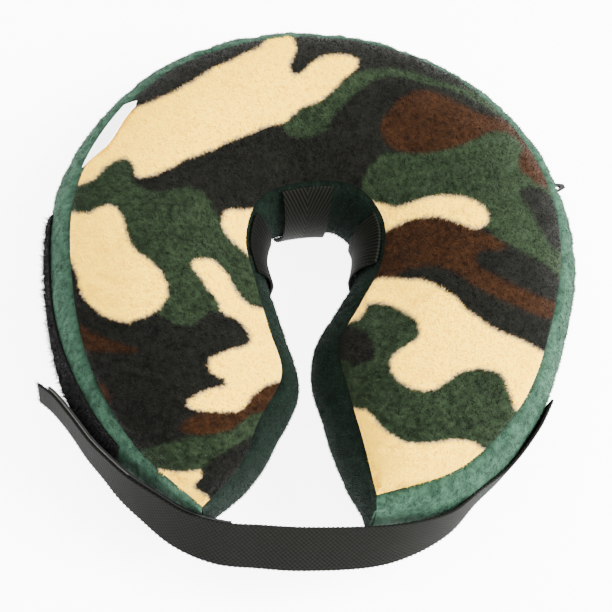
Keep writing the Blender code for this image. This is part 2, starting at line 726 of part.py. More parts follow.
def build_pull(hinge, frame, collection, cutters, material, eye_half):
    """The pull: two ears that meet round the crown's bar, and a blade set square to them."""
    _, along, across, outward = frame
    pivot = (hinge, along, across, outward)
    bar = CROWN_HEIGHT / 2 - CROWN_BAR / 2 - PULL_PLAY
    neck = PULL_NECK / 2
    slot_half = CROWN_WIDTH / 2 + PULL_PLAY
    slot_far = bar + CROWN_BAR + 3 * PULL_PLAY + CROWN_LENGTH / 4
    bridge = slot_far + 2 * bar
    ears = [(-neck, -bar), (neck, -bar), (neck, bridge), (-neck, bridge)]
    pull = prism_object("zip_pull", prism(ears, -bar, bar, 0), pivot, collection, material)
    root = slot_far + bar / 2
    wide = PULL_WIDTH / 2
    near, far = (PULL_LENGTH * share for share in PULL_SHOULDERS)
    half = [(PULL_ROOT / 2, root), (wide, near), (wide, far), (PULL_TIP / 2, PULL_LENGTH)]
    outline = half + [(-first, second) for first, second in reversed(half)]
    blade = prism_object("pull_blade", prism(outline, -bar, bar, 1), pivot, cutters)
    slot = [(-slot_half, bar), (slot_half, bar), (slot_half, slot_far), (-slot_half, slot_far)]
    gap = prism_object("pull_slot", prism(slot, -2 * eye_half, 2 * eye_half, 0), pivot, cutters)
    hole_far = PULL_LENGTH * PULL_HOLE_END
    hole_near = hole_far - 2 * PULL_HOLE
    hole_mid = (hole_far + hole_near) / 2
    hole = [(0.0, hole_near), (PULL_HOLE / 2, hole_mid), (0.0, hole_far), (-PULL_HOLE / 2, hole_mid)]
    eyelet = prism_object("pull_hole", prism(hole, -2 * bar, 2 * bar, 1), pivot, cutters)
    cut(pull, blade, "UNION")
    cut(pull, gap)
    cut(pull, eyelet)


def settle(collections):
    """Moves everything so that the origin is under the middle of the collar, on the surface."""
    corners = np.concatenate([
        np.array([tuple(vert.co) for vert in item.data.vertices]) for item in collections[0].objects
    ])
    low = corners.min(axis=0)
    high = corners.max(axis=0)
    shift = (-(low[0] + high[0]) / 2, -(low[1] + high[1]) / 2, -low[2])
    for collection in collections:
        for item in collection.objects:
            item.location = [place + move for place, move in zip(item.location, shift)]


def main():
    clear_scene()
    collar = new_collection("recovery_collar")
    cutters = new_collection("cutters")
    materials = {
        "camouflage_fleece": new_material("camouflage_fleece", (0.10, 0.14, 0.08), 0.95),
        "green_plush": new_material("green_plush", (0.08, 0.19, 0.15), 0.90),
        "bladder_film": new_material("bladder_film", (0.62, 0.66, 0.68), 0.35),
        "black_webbing": new_material("black_webbing", (0.03, 0.03, 0.028), 0.75),
        "hook_tape": new_material("hook_tape", (0.015, 0.015, 0.015), 0.60),
        "loop_tape": new_material("loop_tape", (0.012, 0.012, 0.014), 0.95),
        "label_ribbon": new_material("label_ribbon", (0.86, 0.86, 0.86), 0.60),
        "zip_chain": new_material("zip_chain", (0.02, 0.03, 0.028), 0.60),
        "zip_metal": new_material("zip_metal", (0.09, 0.09, 0.10), 0.40, 0.8),
    }
    skin = skin_rows()
    inward = inward_directions(skin)
    build_cover(skin, inward, collar, materials)
    build_bladder(skin, inward, collar, cutters, materials["bladder_film"])
    build_strap(collar, materials)
    build_loop_tape(collar, materials["loop_tape"])
    build_collar_loops(collar, materials["black_webbing"])
    build_label(collar, materials["label_ribbon"])
    build_zip(collar, cutters, materials)
    settle((collar, cutters))


main()
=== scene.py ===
import math

import bmesh
import bpy
import numpy as np
from mathutils import Matrix, Vector
from mathutils.kdtree import KDTree


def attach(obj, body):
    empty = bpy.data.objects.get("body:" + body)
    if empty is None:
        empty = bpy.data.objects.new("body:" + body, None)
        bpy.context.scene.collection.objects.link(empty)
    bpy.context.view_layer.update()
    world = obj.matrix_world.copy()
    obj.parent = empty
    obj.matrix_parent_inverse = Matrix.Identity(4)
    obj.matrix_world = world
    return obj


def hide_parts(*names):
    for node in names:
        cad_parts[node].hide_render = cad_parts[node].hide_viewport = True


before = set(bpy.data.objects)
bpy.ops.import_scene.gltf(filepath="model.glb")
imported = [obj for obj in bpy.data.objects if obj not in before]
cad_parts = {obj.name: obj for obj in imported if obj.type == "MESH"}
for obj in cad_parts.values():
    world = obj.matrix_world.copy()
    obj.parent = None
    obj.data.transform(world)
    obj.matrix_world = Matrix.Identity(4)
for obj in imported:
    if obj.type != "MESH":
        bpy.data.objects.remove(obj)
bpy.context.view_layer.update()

# Plan and fullness of the cover, as in the part
OUTER_RADIUS = 0.130
NECK_RADIUS = 0.038
BAND_HEIGHT = 0.060
TOP_CROWN = 0.012
BOTTOM_CROWN = 0.011
OUTER_BULGE = 0.0125
INNER_BULGE = 0.009
LEFT_TIP_BULGE = 0.001
RIGHT_TIP_BULGE = 0.011
FULL_WIDTH = 0.060
FLAT_SHARE = 0.4
CENTRE_Z = BOTTOM_CROWN + BAND_HEIGHT / 2
PLAN_SHIFT = np.array([0.000795, 0.002222, 0.0])

# outer turn, outer, inner turn, neck, arm, height
SECTIONS = np.array([
    (13.8, 1.050, 13.8, 1.00, 1.080, 0.80),
    (32.9, 1.000, 9.4, 1.00, 0.816, 0.90),
    (53.5, 0.955, 8.3, 1.00, 0.541, 0.97),
    (75.1, 0.937, 5.3, 1.00, 0.270, 1.00),
    (96.2, 0.974, 22.1, 1.13, 0.000, 1.00),
    (116.7, 0.998, 57.6, 0.83, 0.000, 1.00),
    (136.5, 1.022, 100.0, 0.96, 0.000, 1.00),
    (156.5, 1.026, 133.8, 1.17, 0.000, 1.00),
    (176.3, 1.035, 165.5, 1.18, 0.000, 1.00),
    (195.8, 1.050, 196.2, 1.28, 0.000, 1.00),
    (215.1, 1.055, 225.0, 1.15, 0.000, 1.00),
    (234.4, 1.045, 259.8, 0.89, 0.000, 1.00),
    (253.7, 1.005, 305.3, 0.83, 0.000, 1.00),
    (274.3, 0.960, 336.3, 1.21, 0.000, 1.00),
    (295.4, 0.970, 337.6, 1.00, 0.362, 0.97),
    (316.1, 0.975, 336.9, 1.00, 0.636, 0.92),
    (336.7, 0.940, 336.7, 1.00, 0.914, 0.82),
])
LAST = len(SECTIONS) - 1
MITRE_SECTIONS = 2.0

# turn, tapes, clear, drop, lean
STRAP_ROWS = np.array([
    (55.3, 2, 0.31, -0.04, 3.0),
    (51.8, 2, 0.13, -0.04, 4.0),
    (46.5, 2, 0.03, -0.04, 4.0),
    (40.4, 2, 0.04, -0.05, 6.0),
    (35.0, 2, 0.07, -0.06, 9.0),
    (29.7, 1, 0.25, -0.06, 15.0),
    (24.0, 1, 0.31, -0.06, 22.0),
    (16.5, 1, 0.33, -0.05, 31.0),
    (8.7, 1, 0.26, -0.03, 40.0),
    (0.9, 1, 0.20, -0.01, 43.0),
    (-8.0, 0, 0.31, 0.00, 44.0),
    (-20.8, 0, 0.50, 0.01, 40.0),
    (-29.6, 0, 0.50, 0.01, 28.0),
    (-38.3, 0, 0.32, 0.01, 14.0),
    (-46.3, 0, 0.06, 0.00, 5.0),
    (-54.6, 0, 0.02, 0.00, 0.0),
    (-64.5, 0, 0.01, 0.00, 0.0),
    (-71.8, 0, 0.01, 0.00, 0.0),
])
WEBBING_WIDTH = 0.025
STRAP_THICKNESS = 0.0013
HOOK_THICKNESS = 0.0012
LOOP_TAPE_THICKNESS = 0.0022
LOOP_TAPE_WIDTH = 0.030
SEAT = 0.0003
TAPE_GAP = 0.0005
COLLAR_LOOPS = {"left": 5.92, "back": 8.02, "right": 10.38}
LOOP_TAPE_SPAN = (1.15, 3.85)
LABEL_SECTION = 4.87
LABEL_LENGTH = 0.043
LABEL_HEIGHT = 0.012
ZIP_SPAN = (9.6, 12.6)
ZIP_PLACE = 0.80

# The viewpoint
VIEW_ELEVATION = 67.0
VIEW_AZIMUTH = -5.0
VIEW_ROLL = 15.0
VIEW_DISTANCE = 0.690
VIEW_TARGET = Vector((0.000795, -0.01778, 0.060))
LENS = 80.0
SENSOR = 36.0
FRAME_SIDE = 612.0

# Linear colours
CREAM = (0.96, 0.605, 0.012)
GREEN = (0.0096, 0.0160, 0.0074)
BROWN = (0.0150, 0.0058, 0.0019)
CHARCOAL = (0.0038, 0.0039, 0.0029)

# Camouflage: painted in this order over charcoal, outlines as seen from the viewpoint
CAMOUFLAGE = (
    (GREEN, ((40, 188), (78, 184), (90, 181), (100, 172), (106, 165), (112, 160), (122, 158),
             (130, 160), (134, 168), (131, 178), (138, 187), (150, 191), (163, 193), (175, 189),
             (190, 187), (203, 192), (211, 204), (217, 215), (222, 222), (240, 245), (246, 250),
             (256, 262), (270, 285), (275, 305), (240, 305), (222, 312), (210, 311), (200, 318),
             (190, 326), (175, 324), (165, 318), (158, 312), (140, 290), (110, 230), (70, 216),
             (40, 222))),
    (CREAM, ((50, 245), (50, 222), (72, 213), (80, 214), (90, 213), (100, 208), (108, 206),
             (116, 209), (121, 216), (124, 226), (126, 236), (130, 246), (137, 253), (150, 262),
             (160, 272), (166, 284), (166, 296), (161, 306), (152, 312), (140, 318), (128, 321),
             (113, 319), (101, 313), (92, 304), (84, 297), (80, 286), (77, 272), (73, 262),
             (70, 256), (62, 250))),
    (CREAM, ((60, 186), (79, 184), (90, 180), (98, 175), (103, 168), (110, 162), (118, 158),
             (126, 158), (132, 161), (136, 168), (137, 175), (142, 177), (150, 175), (160, 172),
             (172, 165), (182, 160), (192, 157), (205, 151), (215, 148), (222, 143), (235, 138),
             (250, 133), (262, 127), (275, 124), (286, 121), (290, 116), (300, 109), (312, 104),
             (322, 99), (330, 93), (338, 85), (344, 77), (350, 73), (356, 68), (357, 61),
             (352, 57), (340, 55), (328, 56), (318, 60), (309, 67), (303, 73), (296, 76),
             (291, 73), (289, 65), (292, 58), (295, 50), (294, 44), (290, 30), (270, 38),
             (262, 47), (250, 52), (240, 57), (228, 63), (216, 68), (205, 75), (195, 81),
             (180, 90), (165, 97), (150, 103), (140, 107), (128, 112), (112, 118), (70, 150))),
    (GREEN, ((286, 121), (290, 116), (300, 109), (312, 104), (322, 99), (330, 93), (338, 86),
             (350, 76), (360, 72), (372, 70), (384, 68), (400, 70), (415, 73), (430, 78),
             (445, 83), (460, 87), (475, 92), (490, 100), (505, 110), (515, 122), (500, 116),
             (480, 103), (462, 94), (445, 88), (430, 85), (415, 81), (400, 77), (388, 76),
             (375, 80), (362, 88), (352, 96), (345, 104), (335, 113), (330, 122), (328, 130),
             (315, 135), (300, 138), (290, 137), (284, 131), (284, 124))),
    (GREEN, ((388, 152), (400, 153), (420, 153), (440, 150), (452, 147), (462, 143), (475, 138),
             (485, 134), (497, 131), (506, 132), (514, 136), (520, 142), (524, 148), (520, 158),
             (522, 170), (528, 176), (540, 184), (549, 188), (590, 200), (590, 285), (560, 277),
             (548, 266), (530, 256), (512, 246), (500, 239), (490, 232), (470, 215), (400, 215),
             (372, 205), (362, 190), (364, 178), (370, 165), (378, 158))),
    (BROWN, ((380, 128), (384, 118), (392, 108), (400, 99), (408, 94), (418, 91), (428, 91),
             (440, 95), (452, 99), (464, 106), (476, 112), (490, 116), (500, 119), (512, 122),
             (530, 140), (545, 155), (560, 180), (560, 190), (547, 188), (538, 184), (530, 178),
             (522, 172), (519, 164), (521, 156), (525, 149), (520, 142), (513, 136), (505, 132),
             (495, 131), (485, 134), (474, 139), (462, 144), (450, 148), (438, 151), (425, 153),
             (410, 153), (396, 150), (388, 144), (383, 137))),
    (CHARCOAL, ((519, 190), (526, 187), (536, 187), (548, 194), (560, 205), (580, 215),
                (580, 255), (556, 250), (548, 243), (541, 233), (536, 222), (530, 210),
                (523, 200))),
    (CREAM, ((370, 203), (384, 206), (395, 208), (405, 206), (415, 202), (425, 199), (438, 197),
             (450, 197), (465, 199), (475, 202), (484, 208), (488, 215), (487, 222), (482, 226),
             (475, 228), (465, 225), (453, 220), (440, 217), (430, 217), (418, 218), (405, 221),
             (396, 226), (388, 232), (370, 235))),
    (BROWN, ((360, 290), (370, 280), (376, 250), (384, 232), (390, 229), (398, 225), (410, 220),
             (425, 217), (440, 217), (455, 221), (468, 226), (478, 230), (490, 235), (500, 241),
             (508, 248), (498, 250), (486, 250), (477, 253), (476, 262), (480, 268), (490, 273),
             (500, 278), (512, 284), (525, 290), (538, 295), (548, 300), (570, 308), (570, 318),
             (545, 318), (535, 314), (522, 309), (508, 302), (495, 297), (482, 290), (472, 283),
             (462, 276), (450, 270), (438, 266), (425, 266), (412, 268), (400, 273), (390, 280),
             (378, 283))),
    (CREAM, ((366, 284), (372, 281), (380, 279), (395, 279), (408, 280), (420, 281), (430, 283),
             (440, 289), (450, 295), (458, 302), (465, 310), (475, 318), (485, 325), (495, 331),
             (508, 336), (520, 340), (530, 345), (540, 352), (570, 362), (560, 400), (530, 420),
             (500, 450), (460, 400), (400, 400), (330, 345), (330, 310), (350, 284))),
    (GREEN, ((366, 303), (378, 302), (390, 304), (400, 308), (410, 314), (418, 322), (421, 331),
             (420, 337), (415, 342), (408, 346), (400, 350), (394, 355), (391, 362), (392, 370),
             (397, 377), (405, 384), (415, 389), (425, 390), (435, 388), (445, 382), (455, 375),
             (466, 370), (478, 367), (490, 369), (500, 372), (507, 380), (509, 388), (512, 400),
             (516, 409), (524, 412), (540, 420), (530, 440), (500, 460), (480, 455), (400, 455),
             (354, 420), (325, 380), (325, 345), (342, 328), (350, 322), (358, 318), (364, 310))),
    (CHARCOAL, ((325, 330), (345, 325), (355, 327), (365, 332), (372, 340), (376, 350),
                (374, 358), (366, 362), (355, 366), (345, 360), (325, 352))),
    (CREAM, ((340, 408), (357, 409), (366, 411), (372, 416), (378, 425), (386, 433), (396, 439),
             (406, 443), (420, 444), (435, 443), (450, 441), (465, 441), (476, 444), (482, 449),
             (492, 456), (500, 465), (465, 500), (450, 510), (430, 515), (380, 515), (350, 480))),
    (CREAM, ((224, 213), (232, 211), (245, 211), (260, 208), (262, 225), (262, 240), (252, 258),
             (240, 247), (233, 240), (226, 232), (222, 224))),
    (CREAM, ((193, 262), (198, 260), (206, 259), (213, 261), (219, 267), (226, 275), (231, 284),
             (236, 292), (242, 300), (250, 306), (258, 309), (275, 311), (285, 325), (292, 345),
             (298, 360), (298, 376), (282, 381), (275, 382), (266, 385), (258, 389), (252, 395),
             (248, 402), (243, 408), (236, 411), (222, 412), (205, 410), (194, 409), (188, 405),
             (190, 400), (198, 395), (208, 391), (220, 388), (226, 385), (225, 378), (218, 375),
             (212, 372), (209, 366), (211, 360), (220, 355), (230, 351), (240, 349), (248, 346),
             (252, 340), (250, 333), (244, 325), (236, 318), (226, 314), (221, 310), (219, 302),
             (212, 292), (204, 281), (198, 272), (193, 267))),
    (BROWN, ((298, 374), (284, 378), (276, 383), (266, 386), (258, 390), (252, 396), (248, 403),
             (243, 409), (236, 412), (222, 413), (205, 412), (195, 415), (185, 421), (180, 428),
             (188, 433), (200, 436), (215, 435), (228, 432), (238, 426), (248, 419), (258, 412),
             (280, 410), (290, 395))),
    (GREEN, ((135, 450), (148, 448), (160, 445), (175, 441), (190, 437), (205, 437), (220, 434),
             (232, 430), (240, 423), (250, 416), (275, 408), (268, 430), (250, 438), (240, 442),
             (228, 450), (214, 458), (204, 466), (198, 472), (190, 473), (175, 472), (150, 471),
             (140, 466))),
    (CREAM, ((140, 470), (165, 471), (180, 473), (192, 472), (200, 471), (200, 477), (195, 482),
             (193, 487), (196, 491), (203, 494), (209, 500), (205, 512), (180, 512), (150, 495))),
    (BROWN, ((75, 322), (88, 328), (96, 334), (110, 340), (125, 345), (138, 350), (135, 353),
             (115, 352), (98, 351), (80, 350))),
    (BROWN, ((92, 380), (106, 388), (112, 396), (110, 402), (98, 398))),
)

random = np.random.default_rng(7)


def unit(vectors):
    return vectors / np.maximum(np.linalg.norm(vectors, axis=-1, keepdims=True), 1e-12)


def spline(values, places):
    """A smooth curve through equally spaced rows of values, read at places counted in rows."""
    values = np.asarray(values, float)
    flat = values.reshape(len(values), -1)
    places = np.clip(np.atleast_1d(np.asarray(places, float)), 0, len(flat) - 1)
    row = np.minimum(places.astype(int), len(flat) - 2)
    t = (places - row)[:, None]
    ends = np.concatenate([[2 * flat[0] - flat[1]], flat, [2 * flat[-1] - flat[-2]]])
    p0, p1, p2, p3 = ends[row], ends[row + 1], ends[row + 2], ends[row + 3]
    found = (
        (2 * t**3 - 3 * t**2 + 1) * p1
        + (t**3 - 2 * t**2 + t) * (p2 - p0) / 2
        + (3 * t**2 - 2 * t**3) * p2
        + (t**3 - t**2) * (p3 - p1) / 2
    )
    return found.reshape((len(places),) + values.shape[1:])


def finer(grid, rows, columns):
    """A grid of points read smoothly at more rows and columns."""
    tall = spline(grid, np.linspace(0, grid.shape[0] - 1, rows))
    wide = spline(tall.transpose(1, 0, 2), np.linspace(0, grid.shape[1] - 1, columns))
    return wide.transpose(1, 0, 2)


def lattice(cells, seed):
    """Steady pseudo-random numbers from 0 to 1 for whole-number cells."""
    cells = cells.astype(np.int64)
    mixed = (
        cells[..., 0] * 73856093 ^ cells[..., 1] * 19349663 ^ cells[..., 2] * 83492791
    ) + seed * 2654435761
    mixed = (mixed ^ (mixed >> 13)) * 1274126177
    mixed = (mixed ^ (mixed >> 16)) & 0xFFFFFF
    return mixed / float(0xFFFFFF)


def noise(points, size, seed):
    """Smooth noise from -1 to 1 with features of about the given size."""
    points = np.asarray(points, float) / size
    cell = np.floor(points)
    t = points - cell
    t = t * t * (3 - 2 * t)
    total = 0
    for dx in (0, 1):
        for dy in (0, 1):
            for dz in (0, 1):
                weight = (
                    (t[..., 0] if dx else 1 - t[..., 0])
                    * (t[..., 1] if dy else 1 - t[..., 1])
                    * (t[..., 2] if dz else 1 - t[..., 2])
                )
                total = total + weight * lattice(cell + (dx, dy, dz), seed)
    return total * 2 - 1


def smooth(t):
    t = np.clip(t, 0, 1)
    return t * t * (3 - 2 * t)


# The cover's surface

def polar(turns, reach):
    angle = np.radians(turns)
    return np.stack([-np.sin(angle) * reach, -np.cos(angle) * reach], axis=-1)


def seam_points(places):
    """The plan points of the outer and the inner seam."""
    outer = polar(SECTIONS[:, 0], SECTIONS[:, 1] * OUTER_RADIUS)
    reach = SECTIONS[:, 3] * NECK_RADIUS + SECTIONS[:, 4] * (OUTER_RADIUS - NECK_RADIUS)
    inner = polar(SECTIONS[:, 2], reach)
    inner[0] = outer[0]
    inner[-1] = outer[-1]
    return spline(outer, places), spline(inner, places)


def plan_normals(places, side):
    """The way in plan that a wall faces, and how far it is part of a tip."""
    step = 0.02
    places = np.atleast_1d(np.asarray(places, float))
    ahead = seam_points(np.minimum(places + step, LAST))[side]
    behind = seam_points(np.maximum(places - step, 0))[side]
    along = unit(ahead - behind)
    facing = np.stack([-along[:, 1], along[:, 0]], axis=1) * (1 if side == 0 else -1)
    ways = []
    for end, inner_end in ((0.0, step * 20), (float(LAST), LAST - step * 20)):
        tip = seam_points(end)[0][0]
        pair = seam_points(inner_end)
        ways.append(unit(tip - (pair[0][0] + pair[1][0]) / 2))
    first = places < LAST / 2
    outward = np.where(first[:, None], ways[0], ways[1])
    away = np.where(first, places, LAST - places)
    mitre = 1 - smooth(away / MITRE_SECTIONS)
    return unit((1 - mitre[:, None]) * facing + mitre[:, None] * outward), mitre


def half_heights(places):
    return BAND_HEIGHT / 2 * spline(SECTIONS[:, 5:6], places)[:, 0]


def wall_points(places, side, shares, stand_off=0.0):
    """Points on the outer (0) or inner (1) wall at shares of its height, from its top seam down."""
    places = np.atleast_1d(np.asarray(places, float))
    shares = np.atleast_1d(np.asarray(shares, float))
    seam = seam_points(places)[side]
    normal, mitre = plan_normals(places, side)
    full = OUTER_BULGE if side == 0 else INNER_BULGE
    tip = np.where(places < LAST / 2, LEFT_TIP_BULGE, RIGHT_TIP_BULGE)
    bulge = full + (tip - full) * mitre
    half = half_heights(places)
    radius = (half**2 + bulge**2) / (2 * bulge)
    seam_angle = np.arcsin(np.minimum(half / radius, 1.0))
    angle = seam_angle[:, None] * (1 - 2 * shares[None, :])
    out = radius[:, None] * (np.cos(angle) - np.cos(seam_angle)[:, None])
    up = radius[:, None] * np.sin(angle)
    far = out + np.cos(angle) * stand_off
    flat = seam[:, None, :] + normal[:, None, :] * far[..., None]
    tall = CENTRE_Z + up + np.sin(angle) * stand_off
    return np.concatenate([flat, tall[..., None]], axis=2) + PLAN_SHIFT


def panel_points(places, shares, top):
    """Points on the top or bottom panel at shares of its width, from its inner seam out."""
    places = np.atleast_1d(np.asarray(places, float))
    shares = np.atleast_1d(np.asarray(shares, float))
    outer, inner = seam_points(places)
    width = np.linalg.norm(outer - inner, axis=1)
    half = half_heights(places)[:, None]
    across = np.abs(2 * shares - 1)[None, :]
    if top:
        fullness = np.tanh(2 * width / FULL_WIDTH) / math.tanh(2.0)
        tall = CENTRE_Z + half + TOP_CROWN * fullness[:, None] * (1 - across**2.2)
    else:
        settled = (np.minimum(width / FULL_WIDTH, 1.0) ** 0.75)[:, None]
        rise = np.maximum(0.0, (across - FLAT_SHARE) / (1 - FLAT_SHARE)) ** 1.8
        tall = (CENTRE_Z - half) * (1 - settled * (1 - rise))
    flat = inner[:, None, :] + (outer - inner)[:, None, :] * shares[None, :, None]
    return np.concatenate([flat, tall[..., None]], axis=2) + PLAN_SHIFT


# Meshes

def grid_faces(rows, columns, start=0, flip=False, ring=False):
    k = np.arange(rows - 1)[:, None]
    m = np.arange(columns if ring else columns - 1)[None, :]
    n = (m + 1) % columns
    quads = np.stack([
        k * columns + m, k * columns + n, (k + 1) * columns + n, (k + 1) * columns + m
    ], axis=2).reshape(-1, 4) + start
    return quads[:, ::-1] if flip else quads


def mesh_object(name, points, faces, material, colours=None, body="collar"):
    """A piece from points and faces of three or four corners each."""
    mesh = bpy.data.meshes.new(name)
    groups = faces if isinstance(faces, (list, tuple)) else [faces]
    loops = np.concatenate([group.reshape(-1) for group in groups]).astype(np.int32)
    sizes = np.concatenate([np.full(len(group), group.shape[1]) for group in groups])
    starts = np.concatenate([[0], np.cumsum(sizes)[:-1]]).astype(np.int32)
    mesh.vertices.add(len(points))
    mesh.vertices.foreach_set("co", np.asarray(points, np.float32).reshape(-1))
    mesh.loops.add(len(loops))
    mesh.loops.foreach_set("vertex_index", loops)
    mesh.polygons.add(len(sizes))
    mesh.polygons.foreach_set("loop_start", starts)
    mesh.polygons.foreach_set("loop_total", sizes.astype(np.int32))
    mesh.update(calc_edges=True)
    mesh.validate()
    if colours is not None:
        layer = mesh.color_attributes.new("tint", "FLOAT_COLOR", "POINT")
        filled = np.ones((len(points), 4), np.float32)
        filled[:, :3] = colours
        layer.data.foreach_set("color", filled.reshape(-1))
    mesh.materials.append(material)
    mesh.shade_smooth()
    item = bpy.data.objects.new(name, mesh)
    bpy.context.scene.collection.objects.link(item)
    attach(item, body)
    return item


def slab(front, back, flip=False):
    """The points and faces of a closed sheet between two grids."""
    rows, columns = front.shape[:2]
    points = np.concatenate([front.reshape(-1, 3), back.reshape(-1, 3)])
    count = rows * columns
    faces = [
        grid_faces(rows, columns, 0, flip),
        grid_faces(rows, columns, count, not flip),
    ]
    m = np.arange(columns - 1)
    k = np.arange(rows - 1)
    rims = []
    for row, turn in ((0, True), (rows - 1, False)):
        a = row * columns + m
        b = a + 1
        rim = np.stack([a, b, b + count, a + count], axis=1)
        rims.append(rim[:, ::-1] if turn != flip else rim)
    for column, turn in ((0, False), (columns - 1, True)):
        a = k * columns + column
        b = a + columns
        rim = np.stack([a, b, b + count, a + count], axis=1)
        rims.append(rim[:, ::-1] if turn != flip else rim)
    return points, np.concatenate(faces + rims)


def grid_normals(grid):
    along = np.gradient(grid, axis=0)
    across = np.gradient(grid, axis=1)
    return unit(np.cross(across, along))


def scatter(grid, normals, count):
    """Random spots spread evenly over a grid's area: where they are, what they face, and their
    place in the grid."""
    a = grid[1:, :-1] - grid[:-1, :-1]
    b = grid[:-1, 1:] - grid[:-1, :-1]
    areas = np.linalg.norm(np.cross(a, b), axis=2)
    steps = np.cumsum(areas.reshape(-1))
    cells = np.searchsorted(steps, random.random(count) * steps[-1])
    cells = np.minimum(cells, len(steps) - 1)
    k, m = np.divmod(cells, grid.shape[1] - 1)
    s = random.random(count)[:, None]
    t = random.random(count)[:, None]

    def read(values):
        low = values[k, m] * (1 - t) + values[k, m + 1] * t
        high = values[k + 1, m] * (1 - t) + values[k + 1, m + 1] * t
        return low * (1 - s) + high * s

    return read(grid), unit(read(normals)), np.stack([k + s[:, 0], m + t[:, 0]], axis=1)


def tufts(name, roots, ways, lengths, widths, material, colours, sunk=0.0003):
    """Short closed spikes: each has three corners at its root and one at its tip."""
    count = len(roots)
    side = unit(np.cross(ways, unit(random.normal(size=(count, 3)))))
    other = np.cross(ways, side)
    foot = roots - ways * sunk
    corners = [
        foot + (side * math.cos(turn) + other * math.sin(turn)) * (widths / 2)[:, None]
        for turn in (0.0, 2.0944, 4.1888)
    ]
    tip = roots + ways * lengths[:, None]
    points = np.stack(corners + [tip], axis=1).reshape(-1, 3)
    base = np.arange(count)[:, None] * 4
    pattern = np.array([[0, 1, 3], [1, 2, 3], [2, 0, 3], [0, 2, 1]])
    faces = (base[:, :, None] + pattern[None]).reshape(-1, 3)
    tints = np.repeat(colours, 4, axis=0)
    return mesh_object(name, points, faces, material, tints)


# The viewpoint

def view_axes():
    azimuth = math.radians(VIEW_AZIMUTH)
    elevation = math.radians(VIEW_ELEVATION)
    roll = math.radians(VIEW_ROLL)
    back = Vector((
        math.sin(azimuth) * math.cos(elevation),
        -math.cos(azimuth) * math.cos(elevation),
        math.sin(elevation),
    ))
    right = Vector((math.cos(azimuth), math.sin(azimuth), 0.0))
    up = right.cross(-back)
    return (
        right * math.cos(roll) + up * math.sin(roll),
        up * math.cos(roll) - right * math.sin(roll),
        back,
    )


def seen_at(points):
    """Where points show in the picture's frame."""
    right, up, back = (np.array(axis) for axis in view_axes())
    centre = np.array(VIEW_TARGET) + back * VIEW_DISTANCE
    offset = points - centre
    depth = -(offset @ back)
    scale = LENS / SENSOR * FRAME_SIDE / depth
    across = FRAME_SIDE / 2 + (offset @ right) * scale
    down = FRAME_SIDE / 2 - (offset @ up) * scale
    return np.stack([across, down], axis=-1)


# Camouflage

def outline_distance(spots, outline):
    """Distance to an outline, negative inside it."""
    corners = np.array(outline, float)
    nearest = np.full(len(spots), 1e9)
    inside = np.zeros(len(spots), bool)
    for a, b in zip(corners, np.roll(corners, -1, axis=0)):
        edge = b - a
        t = np.clip(((spots - a) @ edge) / (edge @ edge), 0, 1)
        gap = spots - a - t[:, None] * edge
        nearest = np.minimum(nearest, (gap * gap).sum(axis=1))
        crosses = (a[1] > spots[:, 1]) != (b[1] > spots[:, 1])
        if edge[1]:
            at = a[0] + (spots[:, 1] - a[1]) / edge[1] * edge[0]
            inside ^= crosses & (spots[:, 0] < at)
    return np.where(inside, -1, 1) * np.sqrt(nearest)


def camouflage(points, fuzz=1.0):
    """The print's colour at points of the top panel."""
    flat = points.reshape(-1, 3)
    spots = seen_at(flat)
    ragged = np.stack([noise(flat, 0.0009, 5), noise(flat, 0.0009, 6)], axis=1) * 1.3
    wavy = np.stack([noise(flat, 0.006, 7), noise(flat, 0.006, 8)], axis=1) * 0.9
    spots = spots + (ragged + wavy) * fuzz
    colours = np.tile(np.array(CHARCOAL), (len(flat), 1))
    for colour, outline in CAMOUFLAGE:
        corners = np.array(outline, float)
        near = ((spots > corners.min(axis=0) - 4) & (spots < corners.max(axis=0) + 4)).all(axis=1)
        if not near.any():
            continue
        soft = 2.8 if colour is not BROWN else 3.4
        share = smooth(0.5 - outline_distance(spots[near], outline) / (2 * soft))[:, None]
        colours[near] = colours[near] * (1 - share) + np.array(colour) * share
    return greyer(colours).reshape(points.shape)


def greyer(colours):
    """Keeps the half-dark rims of the pale patches from turning orange."""
    bright = colours[..., 0]
    half_dark = smooth((bright - 0.02) / 0.05) * (1 - smooth((bright - 0.12) / 0.70))
    lifted = np.maximum(colours[..., 2], colours[..., 1] * 0.62 * half_dark)
    return np.stack([bright, colours[..., 1] * (1 + 0.12 * half_dark), lifted], axis=-1)


# Materials

def new_material(name, colour, roughness, metallic=0.0, sheen=0.0, sheen_roughness=0.5,
                 specular=0.5, sheen_tint=(1.0, 1.0, 1.0)):
    material = bpy.data.materials.new(name)
    material.use_nodes = True
    shader = material.node_tree.nodes["Principled BSDF"]
    shader.inputs["Base Color"].default_value = (*colour, 1.0)
    shader.inputs["Roughness"].default_value = roughness
    shader.inputs["Metallic"].default_value = metallic
    shader.inputs["Sheen Weight"].default_value = sheen
    shader.inputs["Sheen Roughness"].default_value = sheen_roughness
    shader.inputs["Specular IOR Level"].default_value = specular
    shader.inputs["Sheen Tint"].default_value = (*sheen_tint, 1.0)
    return material


